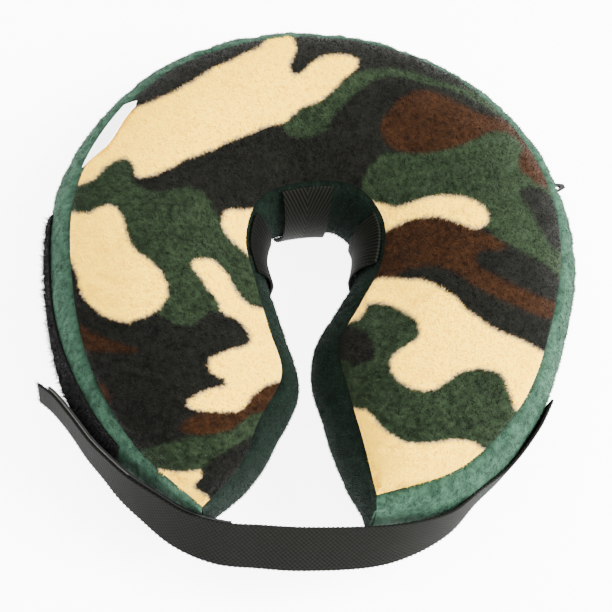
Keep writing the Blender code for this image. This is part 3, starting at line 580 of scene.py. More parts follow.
def tinted(material, speckle=0.0, size=0.001):
    """The piece's own tint as the base colour, with a fine speckle."""
    nodes = material.node_tree.nodes
    links = material.node_tree.links
    shader = nodes["Principled BSDF"]
    tint = nodes.new("ShaderNodeAttribute")
    tint.attribute_name = "tint"
    if not speckle:
        links.new(tint.outputs["Color"], shader.inputs["Base Color"])
        return material
    place = nodes.new("ShaderNodeTexCoord")
    grain = nodes.new("ShaderNodeTexNoise")
    grain.inputs["Scale"].default_value = 1 / size
    grain.inputs["Detail"].default_value = 3.0
    links.new(place.outputs["Object"], grain.inputs["Vector"])
    spread = nodes.new("ShaderNodeMapRange")
    spread.inputs["From Min"].default_value = 0.3
    spread.inputs["From Max"].default_value = 0.7
    spread.inputs["To Min"].default_value = 1 - speckle
    spread.inputs["To Max"].default_value = 1 + speckle
    links.new(grain.outputs["Fac"], spread.inputs["Value"])
    mix = nodes.new("ShaderNodeVectorMath")
    mix.operation = "MULTIPLY"
    links.new(tint.outputs["Color"], mix.inputs[0])
    links.new(spread.outputs["Result"], mix.inputs[1])
    links.new(mix.outputs["Vector"], shader.inputs["Base Color"])
    return material


def roughened(material, size, depth):
    """A fine uneven surface."""
    nodes = material.node_tree.nodes
    links = material.node_tree.links
    place = nodes.new("ShaderNodeTexCoord")
    grain = nodes.new("ShaderNodeTexNoise")
    grain.inputs["Scale"].default_value = 1 / size
    grain.inputs["Detail"].default_value = 4.0
    links.new(place.outputs["Object"], grain.inputs["Vector"])
    bump = nodes.new("ShaderNodeBump")
    bump.inputs["Strength"].default_value = 1.0
    bump.inputs["Distance"].default_value = depth
    links.new(grain.outputs["Fac"], bump.inputs["Height"])
    links.new(bump.outputs["Normal"], nodes["Principled BSDF"].inputs["Normal"])
    return material


fleece = roughened(tinted(new_material("camouflage_fleece", GREEN, 0.95, sheen=0.01, specular=0.05)),
                   0.0009, 0.0008)
fleece_pile = tinted(new_material("fleece_pile", GREEN, 0.95, sheen=0.01, specular=0.05))
plush = roughened(tinted(new_material("green_plush", GREEN, 0.9, sheen=0.01, specular=0.05,
                                      sheen_tint=(0.6, 1.0, 0.8))), 0.0009, 0.0008)
plush_pile = tinted(new_material("plush_pile", GREEN, 0.85, sheen=0.03, specular=0.08,
                                 sheen_tint=(0.6, 1.0, 0.8)))
film = new_material("bladder_film", (0.62, 0.66, 0.68), 0.35)
webbing = tinted(new_material("black_webbing", (0.012, 0.012, 0.010), 0.75, specular=0.06))
hook = new_material("hook_tape", (0.007, 0.007, 0.007), 0.6, specular=0.2)
loop_fuzz = tinted(new_material("loop_tape", (0.005, 0.005, 0.005), 0.8, sheen=0.01, specular=0.08))
ribbon_cloth = new_material("label_ribbon", (0.98, 0.98, 0.98), 0.55)
zip_cloth = new_material("zip_chain", (0.008, 0.013, 0.011), 0.8, specular=0.05)
zip_metal = new_material("zip_metal", (0.006, 0.006, 0.007), 0.5, specular=0.08)


# The cover

SEAM_DEPTH = 0.0009
SEAM_REACH = 0.0022
TIP_REACH = 0.012
COVER_ROWS = 193
TOP_COLUMNS = 23
BAND_COLUMNS = 17
BASE_COLUMNS = 15


TIP_SWING = 0.0085
TIP_BLUNT = 0.0045
TIP_FULLNESS = 0.0055
TIP_FLANK = 0.0035


def fuller_tip(grid, places, shares, side):
    """The right arm's end, where air pushes the wall out towards the strap."""
    normal, mitre = plan_normals(places, side)
    swell = 4 * shares * (1 - shares)
    outward = plan_normals([LAST], 0)[0][0]
    aside = np.array([-outward[1], outward[0]])
    near = np.where(places > LAST / 2, mitre, 0)
    way = np.outer(TIP_SWING * near, aside) - np.outer(TIP_BLUNT * near**2, outward)
    if side:
        way -= np.outer(TIP_FLANK * np.exp(-(((places - 15.3) / 0.6) ** 2)), aside)
    else:
        way += (TIP_FULLNESS * smooth((places - 14.9) / 0.9) * (1 - 0.7 * near**2))[:, None] * normal
    moved = grid.copy()
    moved[..., :2] += way[:, None, :] * swell[None, :, None]
    return moved


def cover_ring():
    """The cover's outside as rows of rings: top, outer wall, underside and inner wall."""
    places = np.linspace(0, LAST, COVER_ROWS)
    shares = np.linspace(0, 1, BAND_COLUMNS)
    top = panel_points(places, np.linspace(0, 1, TOP_COLUMNS), True)
    outer = fuller_tip(wall_points(places, 0, shares), places, shares, 0)
    base = panel_points(places, np.linspace(1, 0, BASE_COLUMNS), False)
    inner = fuller_tip(wall_points(places, 1, shares[::-1]), places, shares[::-1], 1)
    return top, outer, base, inner


def along_seam(grid, column):
    """Length along an edge column, for each row."""
    steps = np.linalg.norm(np.diff(grid[:, column], axis=0), axis=1)
    return np.concatenate([[0], np.cumsum(steps)])


def puckered(grid, seed, depth, sides=(0, -1)):
    """Draws the sides in to their seams and gathers the cloth beside them in small folds."""
    normals = grid_normals(grid)
    middle = spline(COVER_MIDDLE, np.linspace(0, COVER_ROWS - 1, len(grid)))
    moved = grid.copy()
    run = along_seam(grid, grid.shape[1] // 2)
    whole = smooth(np.minimum(run, run[-1] - run) / TIP_REACH)[:, None]
    for column in sides:
        gap = np.linalg.norm(grid - grid[:, column][:, None], axis=2)
        run = along_seam(grid, column)[:, None] + 0 * gap
        fan = np.stack([run, gap * 0.25, np.full_like(run, column * 3.0)], axis=2)
        folds = 0.7 * noise(fan, 0.0048, seed) + 0.5 * noise(fan, 0.0105, seed + 1)
        reach = smooth(gap / 0.002) * np.exp(-gap / 0.0075)
        moved += normals * (depth * folds * reach * whole)[..., None]
        inward = unit(middle - grid[:, column])[:, None, :]
        moved += inward * (SEAM_DEPTH * np.exp(-((gap / SEAM_REACH) ** 2)) * whole)[..., None]
    return moved


AIR_FRAMES = 18
AIR_LIMIT = 0.0032


def inflated(grids):
    """The cover's grids once air has pushed their cloth out between the held seams."""
    flat = np.concatenate([grid.reshape(-1, 3) for grid in grids])
    faces = []
    start = 0
    for grid in grids:
        faces.append(grid_faces(*grid.shape[:2], start=start, flip=True))
        start += grid.shape[0] * grid.shape[1]
    mesh = bpy.data.meshes.new("air_cloth")
    mesh.from_pydata(flat.tolist(), [], np.concatenate(faces).tolist())
    shell = bmesh.new()
    shell.from_mesh(mesh)
    bmesh.ops.remove_doubles(shell, verts=shell.verts, dist=1e-5)
    bmesh.ops.dissolve_degenerate(shell, edges=shell.edges, dist=1e-6)
    bmesh.ops.recalc_face_normals(shell, faces=shell.faces)
    shell.to_mesh(mesh)
    shell.free()
    tree = KDTree(len(mesh.vertices))
    for vertex in mesh.vertices:
        tree.insert(vertex.co, vertex.index)
    tree.balance()
    index = np.array([tree.find(point)[1] for point in flat])
    item = bpy.data.objects.new("air_cloth", mesh)
    bpy.context.scene.collection.objects.link(item)
    held = np.concatenate([
        np.concatenate([
            np.isin(np.tile(np.arange(grid.shape[1]), (grid.shape[0], 1)), (0, grid.shape[1] - 1))
            | (grid[..., 2] < 0.004)
        ]).reshape(-1)
        for grid in grids
    ])
    group = item.vertex_groups.new(name="held")
    group.add(np.unique(index[held]).tolist(), 1.0, "REPLACE")
    cloth = item.modifiers.new("air", "CLOTH")
    cloth.settings.quality = 5
    cloth.settings.mass = 0.15
    cloth.settings.tension_stiffness = 18.0
    cloth.settings.compression_stiffness = 18.0
    cloth.settings.shear_stiffness = 6.0
    cloth.settings.bending_stiffness = 0.12
    cloth.settings.use_pressure = True
    cloth.settings.uniform_pressure_force = 4.0
    cloth.settings.vertex_group_mass = "held"
    cloth.settings.shrink_min = -0.014
    cloth.settings.effector_weights.gravity = 0.0
    cloth.collision_settings.use_collision = False
    cloth.point_cache.frame_start = 1
    cloth.point_cache.frame_end = AIR_FRAMES
    scene = bpy.context.scene
    for number in range(1, AIR_FRAMES + 1):
        scene.frame_set(number)
    shaped = item.evaluated_get(bpy.context.evaluated_depsgraph_get()).to_mesh()
    points = np.empty(len(shaped.vertices) * 3)
    shaped.vertices.foreach_get("co", points)
    moved = points.reshape(-1, 3)[index] - flat
    size = np.linalg.norm(moved, axis=1, keepdims=True)
    moved *= np.tanh(size / AIR_LIMIT) * AIR_LIMIT / np.maximum(size, 1e-9)
    bpy.data.objects.remove(item, do_unlink=True)
    scene.frame_set(1)
    found = []
    start = 0
    for grid in grids:
        count = grid.shape[0] * grid.shape[1]
        after = grid + moved[start:start + count].reshape(grid.shape)
        after[..., 2] = np.maximum(after[..., 2], 0.0)
        found.append(after)
        start += count
    return found


def beside(values, low, high, fade):
    """0 between low and high, rising to 1 a fade away from them."""
    return smooth(np.maximum(low - values, values - high) / fade)


def free_cloth():
    """How free each point of the four grids is to move: not where something is sewn on or lies."""
    place = np.linspace(0, LAST, COVER_ROWS)[:, None]
    band = np.linspace(0, 1, BAND_COLUMNS)[None, :]
    tape = np.maximum(beside(place, *LOOP_TAPE_SPAN, 0.4), beside(band, 0.24, 0.76, 0.16))
    sewn = np.maximum(beside(place, 13.2, 15.0, 0.5), beside(band, 0.25, 0.75, 0.16))
    zipped = np.maximum(beside(place, *ZIP_SPAN, 0.3), beside(band, 0.72, 0.88, 0.1))
    outer = np.minimum(np.minimum(tape, sewn), zipped)
    inner = np.ones((COVER_ROWS, BAND_COLUMNS))
    for section in COLLAR_LOOPS.values():
        inner = np.minimum(inner, beside(place, section - 0.75, section + 0.75, 0.5))
    top = np.ones((COVER_ROWS, TOP_COLUMNS))
    base = np.ones((COVER_ROWS, BASE_COLUMNS))
    return top, outer, base, inner


cover = cover_ring()
cover = [
    grid + (after - grid) * free[..., None]
    for grid, after, free in zip(cover, inflated(cover), free_cloth())
]
top_grid, outer_grid, base_grid, inner_grid = cover
COVER_MIDDLE = np.concatenate(cover, axis=1).mean(axis=1)

top_fine = puckered(finer(top_grid, 769, 97), 11, 0.0007)
outer_fine = puckered(finer(outer_grid, 577, 41), 21, 0.0011)
base_fine = puckered(finer(base_grid, 289, 33), 31, 0.0006)
inner_fine = puckered(finer(inner_grid, 481, 41), 41, 0.0010)


def bumpy(grid, size, depth, seed):
    gap = np.minimum(
        np.linalg.norm(grid - grid[:, :1], axis=2), np.linalg.norm(grid - grid[:, -1:], axis=2)
    )
    swell = noise(grid, size, seed) * depth * smooth(gap / 0.004)
    return grid + grid_normals(grid) * swell[..., None]


top_fine = bumpy(top_fine, 0.022, 0.0006, 3)
outer_fine = bumpy(outer_fine, 0.016, 0.0007, 4)
inner_fine = bumpy(inner_fine, 0.014, 0.0007, 5)


def fleece_colours(points, spots):
    """The print with the clumps of its pile: strong where it is dark, faint where it is pale, and a painted sheen
    that lightens and greys the dark print towards the outer seam along the far side of the ring.
    """
    colours = camouflage(points)
    dark = 1 - smooth(colours.max(axis=-1) / 0.12)
    clumps = 0.50 * noise(points, 0.0013, 14) + 0.22 * noise(points, 0.0034, 16) + 0.10 * noise(points, 0.012, 15)
    along, across = spots[..., 0], spots[..., 1]
    back = smooth((along - 0.26) / 0.14) * smooth((0.86 - along) / 0.14)
    # Painted sheen: the dark print lighter and greyer towards the outer seam on the far side of the ring, standing
    # in for light catching the pile at the rim
    painted_rim_sheen = back * dark * smooth((across - 0.45) / 0.55)
    edge = np.maximum(smooth((across - 0.975) / 0.02), smooth((0.025 - across) / 0.02))
    colours = colours * (1 + clumps * (0.10 + 1.0 * dark) + 0.50 * painted_rim_sheen)[..., None]
    colours = colours + (painted_rim_sheen * (0.0015 + 0.005 * smooth((across - 0.82) / 0.18)) * (1 + clumps))[..., None]
    pale = edge * (1 - dark)
    colours[..., 2] = np.maximum(colours[..., 2], pale * colours[..., 1] * 0.20)
    return colours


def grid_spots(grid):
    """Each point's share of the way along and across its grid."""
    rows, columns = grid.shape[:2]
    return np.stack(np.meshgrid(np.linspace(0, 1, rows), np.linspace(0, 1, columns), indexing="ij"), axis=-1)


cover_top = mesh_object("fleece_top", top_fine.reshape(-1, 3), grid_faces(*top_fine.shape[:2], flip=True),
                        fleece, (fleece_colours(top_fine, grid_spots(top_fine)) * 0.9).reshape(-1, 3))

PLUSH = np.array((0.0200, 0.0480, 0.0300))
# The inner band's plush, painted about ten times darker than PLUSH: mostly painted shade for the inside of the neck
# hole
PLUSH_IN_SHADE = np.array((0.0020, 0.0052, 0.0031))


def plush_colours(points, spots, base, seed):
    """Combed pile in lighter and darker strokes, with painted shade darkening it close to either seam, where it
    rolls into the crease.
    """
    combed = points * (1.0, 1.0, 0.4)
    wave = 1 + 0.22 * noise(combed, 0.007, seed) + 0.55 * noise(combed, 0.0014, seed + 1)
    # Painted shade: the plush up to 55 % darker close to either seam
    painted_seam_shade = np.exp(-((np.minimum(spots[..., 1], 1 - spots[..., 1]) / 0.022) ** 2))
    return base * (wave * (1 - 0.55 * painted_seam_shade))[..., None]


outer_plush = mesh_object("outer_plush", outer_fine.reshape(-1, 3),
                          grid_faces(*outer_fine.shape[:2], flip=True), plush,
                          plush_colours(outer_fine, grid_spots(outer_fine), PLUSH, 51).reshape(-1, 3))
base_plush = mesh_object("base_plush", base_fine.reshape(-1, 3),
                         grid_faces(*base_fine.shape[:2], flip=True), plush,
                         plush_colours(base_fine, grid_spots(base_fine), PLUSH, 52).reshape(-1, 3))
inner_plush = mesh_object("inner_plush", inner_fine.reshape(-1, 3),
                          grid_faces(*inner_fine.shape[:2], flip=True), plush,
                          plush_colours(inner_fine, grid_spots(inner_fine), PLUSH_IN_SHADE, 53).reshape(-1, 3))
for piece, node in ((cover_top, "top_panel"), (outer_plush, "outer_band"),
                    (base_plush, "bottom_panel"), (inner_plush, "inner_band")):
    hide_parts(node)


def pile(name, grid, count, length, width, lean, nap, material, paint):
    normals = -grid_normals(grid)
    roots, facing, spots = scatter(grid, normals, count)
    spots = spots / (np.array(grid.shape[:2]) - 1)
    drift = np.stack([noise(roots, 0.012, 61), noise(roots, 0.012, 62), noise(roots, 0.012, 63)], axis=1)
    ways = unit(facing + np.array(nap) + 0.25 * drift + lean * random.normal(size=roots.shape) * 0.6)
    rise = (ways * facing).sum(axis=1)
    ways = unit(ways + facing * np.maximum(0.25 - rise, 0)[:, None])
    inner_edge = np.minimum(spots[:, 1], 1 - spots[:, 1])
    lengths = length * (0.55 + 0.9 * random.random(count)) * (0.35 + 0.65 * smooth(inner_edge / 0.03))
    widths = width * (0.7 + 0.6 * random.random(count))
    colours = paint(roots, spots)
    dark = 1 - smooth(colours.max(axis=1) / 0.12)
    shade = 1 + (0.16 + 1.0 * dark) * (random.random(count) - 0.5)
    pale = (random.random(count) < 0.25) * dark * 0.004
    return tufts(name, roots, ways, lengths, widths, material, colours * shade[:, None] + pale[:, None])


top_pile = pile("fleece_top_pile", top_fine, 43000, 0.0013, 0.00055, 0.9, (0, 0, 0), fleece_pile,
                fleece_colours)
outer_pile = pile("outer_plush_pile", outer_fine, 34000, 0.0009, 0.00055, 0.7, (0, 0, -0.3), plush_pile,
                  lambda roots, spots: plush_colours(roots, spots, PLUSH, 51))
inner_pile = pile("inner_plush_pile", inner_fine, 21000, 0.0009, 0.00055, 0.7, (0, 0, -0.3), plush_pile,
                  lambda roots, spots: plush_colours(roots, spots, PLUSH_IN_SHADE, 53))

film_ring = np.concatenate([
    top_grid[:, 1:-1], outer_grid[:, 1:-1], base_grid[:, 1:-1], inner_grid[:, 1:-1]
], axis=1)[6:-6:2]
film_along = np.gradient(film_ring, axis=0)
film_around = np.roll(film_ring, -1, axis=1) - np.roll(film_ring, 1, axis=1)
film_points = film_ring + unit(np.cross(film_around, film_along)) * 0.0065
ends = []
count = film_points.shape[1]
rows = film_points.shape[0]
film_flat = np.concatenate([film_points.reshape(-1, 3), film_points[:1].mean(axis=1), film_points[-1:].mean(axis=1)])
ring_m = np.arange(count)
fan_a = np.stack([ring_m, (ring_m + 1) % count, np.full(count, rows * count)], axis=1)
fan_b = np.stack([(rows - 1) * count + (ring_m + 1) % count, (rows - 1) * count + ring_m,
                  np.full(count, rows * count + 1)], axis=1)
bladder = mesh_object("air_bladder_film", film_flat,
                      [grid_faces(rows, count, flip=True, ring=True), fan_a, fan_b], film)
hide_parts("air_bladder")


# Webbing strap and its tapes

def wall_reach(turns):
    points = wall_points(np.linspace(0, LAST, 801), 0, [0.5])[:, 0] - PLAN_SHIFT
    found = np.degrees(np.arctan2(-points[:, 0], -points[:, 1])) % 360
    reach = np.hypot(points[:, 0], points[:, 1])
    found = np.concatenate([[found[-1] - 360], found])
    reach = np.concatenate([[reach[-1]], reach])
    turns = np.where(turns < found[0], turns + 360, turns)
    return np.interp(turns, found, reach)


def strap_line():
    depths = np.array([
        0.0,
        HOOK_THICKNESS + TAPE_GAP,
        HOOK_THICKNESS + LOOP_TAPE_THICKNESS + SEAT + TAPE_GAP,
    ])
    reach = wall_reach(STRAP_ROWS[:, 0]) + SEAT + depths[STRAP_ROWS[:, 1].astype(int)]
    flat = polar(STRAP_ROWS[:, 0], reach + STRAP_THICKNESS / 2 + STRAP_ROWS[:, 2] * WEBBING_WIDTH)
    tall = CENTRE_Z - STRAP_ROWS[:, 3] * BAND_HEIGHT
    return np.concatenate([flat, tall[:, None]], axis=1)


STRAP_LINE = strap_line()


def strap_frames(places):
    """Middle, width way and outward way of the strap at places along its rows."""
    step = 0.01
    middle = spline(STRAP_LINE, places)
    along = spline(STRAP_LINE, places + step) - spline(STRAP_LINE, places - step)
    level = unit(along * (1, 1, 0))
    outward = np.stack([level[:, 1], -level[:, 0], np.zeros(len(level))], axis=1)
    turn = np.where((outward * middle).sum(axis=1) < 0, -1, 1)[:, None]
    outward = outward * turn
    lean = np.radians(spline(STRAP_ROWS[:, 4:5], places)[:, 0])[:, None]
    down = np.array([0, 0, -1.0]) * np.cos(lean) + outward * np.sin(lean)
    facing = np.array([0, 0, 1.0]) * np.sin(lean) + outward * np.cos(lean)
    return middle + PLAN_SHIFT, down, facing


def run_length(places):
    middle = spline(STRAP_LINE, places)
    return np.concatenate([[0], np.cumsum(np.linalg.norm(np.diff(middle, axis=0), axis=1))])


def even_places(first, last, pitch):
    """Places along the strap's rows, a pitch of metres apart."""
    trial = np.linspace(first, last, 2000)
    run = run_length(trial)
    count = max(int(run[-1] / pitch) + 1, 2)
    return np.interp(np.linspace(0, run[-1], count), run, trial), run[-1]


def grid_weave(run, across, pitch, depth):
    """The relief of a plain weave: ribs that pass over and under one another."""
    return depth * np.sin(math.pi * run / pitch) * np.sin(math.pi * across / pitch)


strap_last = len(STRAP_ROWS) - 1
strap_places, strap_length = even_places(0, strap_last, 0.0005)
strap_run = np.linspace(0, strap_length, len(strap_places))
strap_across = np.linspace(-0.5, 0.5, 51)
middle, down, facing = strap_frames(strap_places)


WEAVE_PITCH = 0.0012
WEAVE_DEPTH = 0.00028
SELVEDGE = 0.00025


def strap_sheet(places, run, across, depth, relief):
    middle, down, facing = strap_frames(places)
    lift = relief(run[:, None], across[None, :] * WEBBING_WIDTH)
    ripple = SELVEDGE * np.abs(np.sin(math.pi * run / WEAVE_PITCH))[:, None]
    reach = across[None, :] * (WEBBING_WIDTH - 2 * SELVEDGE) * (1 + 2 * ripple / WEBBING_WIDTH)
    return (
        middle[:, None, :]
        + down[:, None, :] * reach[..., None]
        + facing[:, None, :] * (depth + lift)[..., None]
    )


strap_front = strap_sheet(strap_places, strap_run, strap_across, STRAP_THICKNESS / 2,
                          lambda s, w: grid_weave(s, w, WEAVE_PITCH, WEAVE_DEPTH))
strap_back = strap_sheet(strap_places, strap_run, strap_across, -STRAP_THICKNESS / 2,
                         lambda s, w: -grid_weave(s, w, WEAVE_PITCH, WEAVE_DEPTH))
# Webbing tones for painted shade in the hollows of the weave (low) and painted highlights on its ribs (high)
WEB_LOW = 0.0003
WEB_HIGH = 0.0078


def weave_highlight_and_shade(relief, depth):
    """Painted light on a weave: painted highlights on its raised ribs and painted shade between them."""
    share = np.clip(relief / depth / 2 + 0.5, 0, 1)
    tone = WEB_LOW + (WEB_HIGH - WEB_LOW) * share
    return tone.reshape(-1, 1) * np.array((0.97, 1.03, 0.80))


points, faces = slab(strap_front, strap_back)
strap_tone = weave_highlight_and_shade(
    grid_weave(strap_run[:, None], strap_across[None, :] * WEBBING_WIDTH, WEAVE_PITCH, WEAVE_DEPTH),
    WEAVE_DEPTH,
)
# Painted shade: the strap darkened to 62 % of its tone over its first rows, at the left end
strap_painted_shade = 0.62 + 0.38 * smooth((strap_places - 4) / 5)
strap_tone = strap_tone * np.repeat(strap_painted_shade, len(strap_across))[:, None]
strap = mesh_object("strap_webbing", points, faces, webbing, np.tile(strap_tone, (2, 1)))
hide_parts("closure_strap")

def frayed_end():
    """Loose ends of yarn at the strap's cut end."""
    count = 110
    middle, down, facing = strap_frames(np.array([0.0, 0.05]))
    away = unit(middle[0] - middle[1])
    across = (random.random(count) - 0.5)[:, None] * WEBBING_WIDTH
    depth = (random.random(count) - 0.5)[:, None] * STRAP_THICKNESS
    roots = middle[0] + down[0] * across + facing[0] * depth
    ways = unit(away + 0.45 * random.normal(size=(count, 3)))
    tones = 0.004 + 0.05 * random.random(count) ** 3
    return tufts("strap_fray", roots, ways, 0.0012 + 0.0035 * random.random(count) ** 2,
                 np.full(count, 0.00035), webbing, tones[:, None] * np.array((1.0, 0.98, 0.9)))


fray = frayed_end()

HOOK_PLACES = (strap_last / 35, strap_last * 17 / 35)
hook_places, hook_length = even_places(*HOOK_PLACES, 0.0010)
hook_run = np.linspace(0, hook_length, len(hook_places))
hook_across = np.linspace(-0.5, 0.5, 26)
hook_depth = -(STRAP_THICKNESS + HOOK_THICKNESS) / 2 - TAPE_GAP
hook_front = strap_sheet(hook_places, hook_run, hook_across, hook_depth + HOOK_THICKNESS / 2,
                         lambda s, w: 0 * s * w)
hook_back = strap_sheet(hook_places, hook_run, hook_across, hook_depth - HOOK_THICKNESS / 2,
                        lambda s, w: 0 * s * w)
points, faces = slab(hook_front, hook_back)
hook_piece = mesh_object("hook_strip", points, faces, hook)

hem_places, hem_length = even_places(HOOK_PLACES[0], strap_last * 0.29, 0.0010)
hem_across = np.array([-0.515, -0.499])
hem_depth = -STRAP_THICKNESS / 2 - TAPE_GAP / 2
hem = [
    strap_sheet(hem_places, np.linspace(0, hem_length, len(hem_places)), hem_across,
                hem_depth + side * 0.00016, lambda s, w: 0 * s * w)
    for side in (1, -1)
]
points, faces = slab(*hem)
hem_piece = mesh_object("strap_hem", points, faces, new_material("pale_thread", (0.055, 0.052, 0.045), 0.7))
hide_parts("hook_tape")


# Loop tape on the left outer wall

def wall_arc(bulge):
    radius = ((BAND_HEIGHT / 2) ** 2 + bulge**2) / (2 * bulge)
    return 2 * radius * math.asin(BAND_HEIGHT / 2 / radius)


tape_half = LOOP_TAPE_WIDTH / 2 / wall_arc(OUTER_BULGE)
tape_places = np.linspace(*LOOP_TAPE_SPAN, 180)
tape_shares = np.linspace(0.5 - tape_half, 0.5 + tape_half, 31)
tape_rise = 0.10 * smooth((2.9 - tape_places) / 1.2)


def raised_tape(stand_off):
    level = wall_points(tape_places, 0, tape_shares, stand_off)
    high = wall_points(tape_places, 0, tape_shares - 0.10, stand_off)
    return level + (high - level) * (tape_rise / 0.10)[:, None, None]


tape_front = raised_tape(SEAT + LOOP_TAPE_THICKNESS * 0.5)
tape_back = raised_tape(SEAT)
points, faces = slab(tape_front, tape_back, flip=True)
tape = mesh_object("loop_strip", points, faces, loop_fuzz, np.full((len(points), 3), 0.0012))
tape_normals = unit(tape_front - tape_back)
tape_roots, tape_facing, tape_spots = scatter(tape_front, tape_normals, 7000)
tape_along = unit(np.gradient(tape_front, axis=0))[
    tape_spots[:, 0].astype(int), tape_spots[:, 1].astype(int)
]
tape_ways = unit(
    tape_facing * 0.5
    + tape_along * random.normal(size=(len(tape_roots), 1)) * 0.5
    + 0.55 * random.normal(size=tape_roots.shape)
    + np.array([0, 0, 0.25])
)
tape_ways = unit(tape_ways + tape_facing * np.maximum(0.1 - (tape_ways * tape_facing).sum(axis=1), 0)[:, None])
strands = tufts("loop_strands", tape_roots, tape_ways, 0.0008 + 0.0046 * random.random(len(tape_roots)) ** 2.5,
                np.full(len(tape_roots), 0.00050), loop_fuzz,
                0.001 + 0.014 * random.random((len(tape_roots), 1)) ** 2 * np.ones(3))
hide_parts("loop_tape")


def length_down(grid):
    """Length of a grid's middle column."""
    return float(np.linalg.norm(np.diff(grid[:, grid.shape[1] // 2], axis=0), axis=1).sum())


def pitch_of(side, place):
    ends = wall_points([place - 0.2, place + 0.2], side, [0.5])[:, 0]
    return float(np.linalg.norm(ends[1] - ends[0])) / 0.4


# Webbing loops in the neck hole

def chevrons(run, across):
    phase = run / 0.0046 + np.abs(across) / 0.0018
    return 0.00016 * np.sin(2 * math.pi * phase)


def ribs(run, across):
    return 0.00016 * np.sin(2 * math.pi * (across / 0.0016 + run / 0.014))


def collar_loop(name, section, relief):
    half = WEBBING_WIDTH / 2 / pitch_of(1, section)
    places = np.linspace(section - half, section + half, 97)
    shares = np.linspace(0.03, 0.97, 101)
    slack = SEAT + 0.0022 * np.sqrt(np.sin(math.pi * shares))
    arc = wall_arc(INNER_BULGE)
    lift = relief((shares * arc)[None, :], np.linspace(-0.5, 0.5, 97)[:, None] * WEBBING_WIDTH)
    base = wall_points(places, 1, shares, 0.0)
    out = wall_points(places, 1, shares, 1.0) - base
    front = base + out * (slack[None, :] + 0.0012 + lift)[..., None]
    back = base + out * slack[None, :, None]
    points, faces = slab(front, back)
    # Painted highlights on the loop's ribs, and painted shade on the whole left loop, which gets under half the
    # brightness of the others
    tone = 0.0003 + weave_highlight_and_shade(lift, 0.00016) ** 2 * (45 if name == "left" else 120)
    piece = mesh_object(f"webbing_loop_{name}", points, faces, webbing, np.tile(tone, (2, 1)))
    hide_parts(f"collar_loop_{name}")
    length_down(back.transpose(1, 0, 2))


collar_loop("back", COLLAR_LOOPS["back"], chevrons)
collar_loop("left", COLLAR_LOOPS["left"], ribs)
collar_loop("right", COLLAR_LOOPS["right"], ribs)


# Label

label_half = LABEL_LENGTH / 2 / pitch_of(0, LABEL_SECTION)
label_places = np.linspace(LABEL_SECTION - label_half - 0.11, LABEL_SECTION + label_half - 0.05, 49)
label_share = np.linspace(0, 1, 49)
label_outer = seam_points(label_places)[0]
label_normal = plan_normals(label_places, 0)[0]
label_out = np.concatenate([label_normal, np.zeros((49, 1))], axis=1)
label_along = np.cross(label_out, (0, 0, 1.0))
label_along = label_along * np.sign((label_along[0, :2] * (label_outer[1] - label_outer[0])).sum())
label_foot = np.concatenate([label_outer, (CENTRE_Z + half_heights(label_places))[:, None]], axis=1)
heights = np.linspace(0, 1, 17)[None, :]
label_lean = np.radians(38 + 12 * heights + 6 * np.sin(label_share * 6)[:, None] * heights)
label_tall = LABEL_HEIGHT * (1 - 0.30 * smooth((label_share - 0.88) / 0.12))[:, None]
label_skew = heights * (0.0035 + 0.0075 * (1 - label_share[:, None]) ** 2)
label_up = np.cumsum(np.cos(label_lean) / 16, axis=1) * label_tall
label_in = np.cumsum(np.sin(label_lean) / 16, axis=1) * label_tall
label_line = (
    label_foot[:, None, :]
    + label_out[:, None, :] * (0.0009 - label_in)[..., None]
    + label_along[:, None, :] * label_skew[..., None]
    + np.array([0, 0, 1.0]) * (label_up - 0.0008)[..., None]
) + PLAN_SHIFT
label_face = -grid_normals(label_line)
label_front = label_line + label_face * 0.0003
label_back = label_line - label_face * 0.0003
points, faces = slab(label_front, label_back)
label = mesh_object("ribbon_label", points, faces, ribbon_cloth)
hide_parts("seam_label")


# Zip

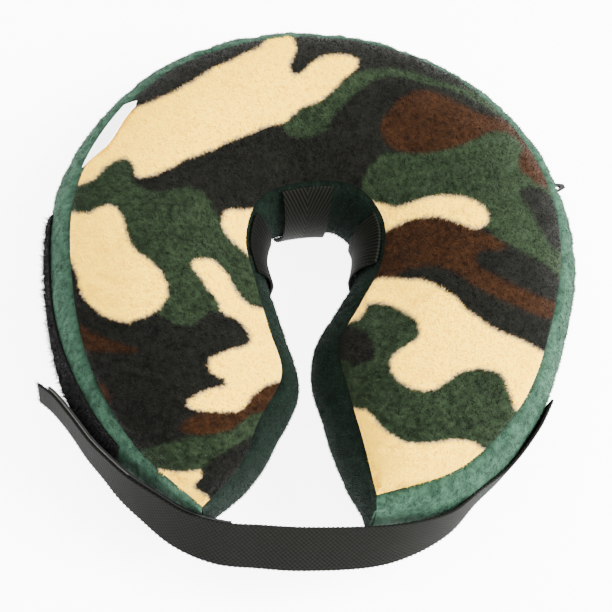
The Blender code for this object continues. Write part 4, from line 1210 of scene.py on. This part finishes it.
def copied(node, name, material, body):
    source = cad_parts[node]
    mesh = source.data.copy()
    mesh.materials.clear()
    mesh.materials.append(material)
    item = bpy.data.objects.new(name, mesh)
    bpy.context.scene.collection.objects.link(item)
    edge = item.modifiers.new("edges", "BEVEL")
    edge.width = 0.00025
    edge.segments = 2
    edge.limit_method = "ANGLE"
    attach(item, body)
    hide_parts(node)
    return item


for node, name, material, body in (
    ("zip_slider", "slider", zip_metal, "collar"),
    ("zip_pull", "pull_tab", zip_metal, "zip_pull"),
    ("zip_chain", "zip_tape", zip_cloth, "collar"),
):
    piece = copied(node, name, material, body)


# Floor, lights and camera

def add_floor():
    bpy.ops.mesh.primitive_plane_add(size=8.0, location=(0, 0, -0.0002))
    floor = bpy.context.object
    floor.name = "floor"
    paper = new_material("floor", (0.95, 0.95, 0.95), 0.9, specular=0.1)
    shader = paper.node_tree.nodes["Principled BSDF"]
    shader.inputs["Emission Color"].default_value = (1.0, 1.0, 1.0, 1.0)
    shader.inputs["Emission Strength"].default_value = 6.0
    floor.data.materials.append(paper)


def add_light(name, place, size, power, target=(0, 0, 0.04)):
    lamp = bpy.data.lights.new(name, "AREA")
    lamp.shape = "DISK"
    lamp.size = size
    lamp.energy = power
    item = bpy.data.objects.new(name, lamp)
    item.location = place
    item.rotation_mode = "QUATERNION"
    item.rotation_quaternion = (Vector(target) - Vector(place)).to_track_quat("-Z", "Y")
    bpy.context.scene.collection.objects.link(item)


def add_camera():
    right, up, back = view_axes()
    data = bpy.data.cameras.new("camera")
    data.lens = LENS
    data.sensor_width = SENSOR
    data.clip_start = 0.01
    item = bpy.data.objects.new("camera", data)
    turn = Matrix((right, up, back)).transposed()
    item.matrix_world = Matrix.Translation(VIEW_TARGET + back * VIEW_DISTANCE) @ turn.to_4x4()
    bpy.context.scene.collection.objects.link(item)
    bpy.context.scene.camera = item


add_floor()
add_light("key", (0.85, 0.15, 0.95), 0.9, 80.0)
add_light("fill", (-0.5, 0.4, 1.1), 1.2, 26.0)
add_light("front", (0.35, -0.8, 0.8), 1.0, 12.0)
world = bpy.context.scene.world or bpy.data.worlds.new("world")
bpy.context.scene.world = world
world.use_nodes = True
world.node_tree.nodes["Background"].inputs["Color"].default_value = (1.0, 1.0, 1.0, 1.0)
world.node_tree.nodes["Background"].inputs["Strength"].default_value = 1.5
add_camera()
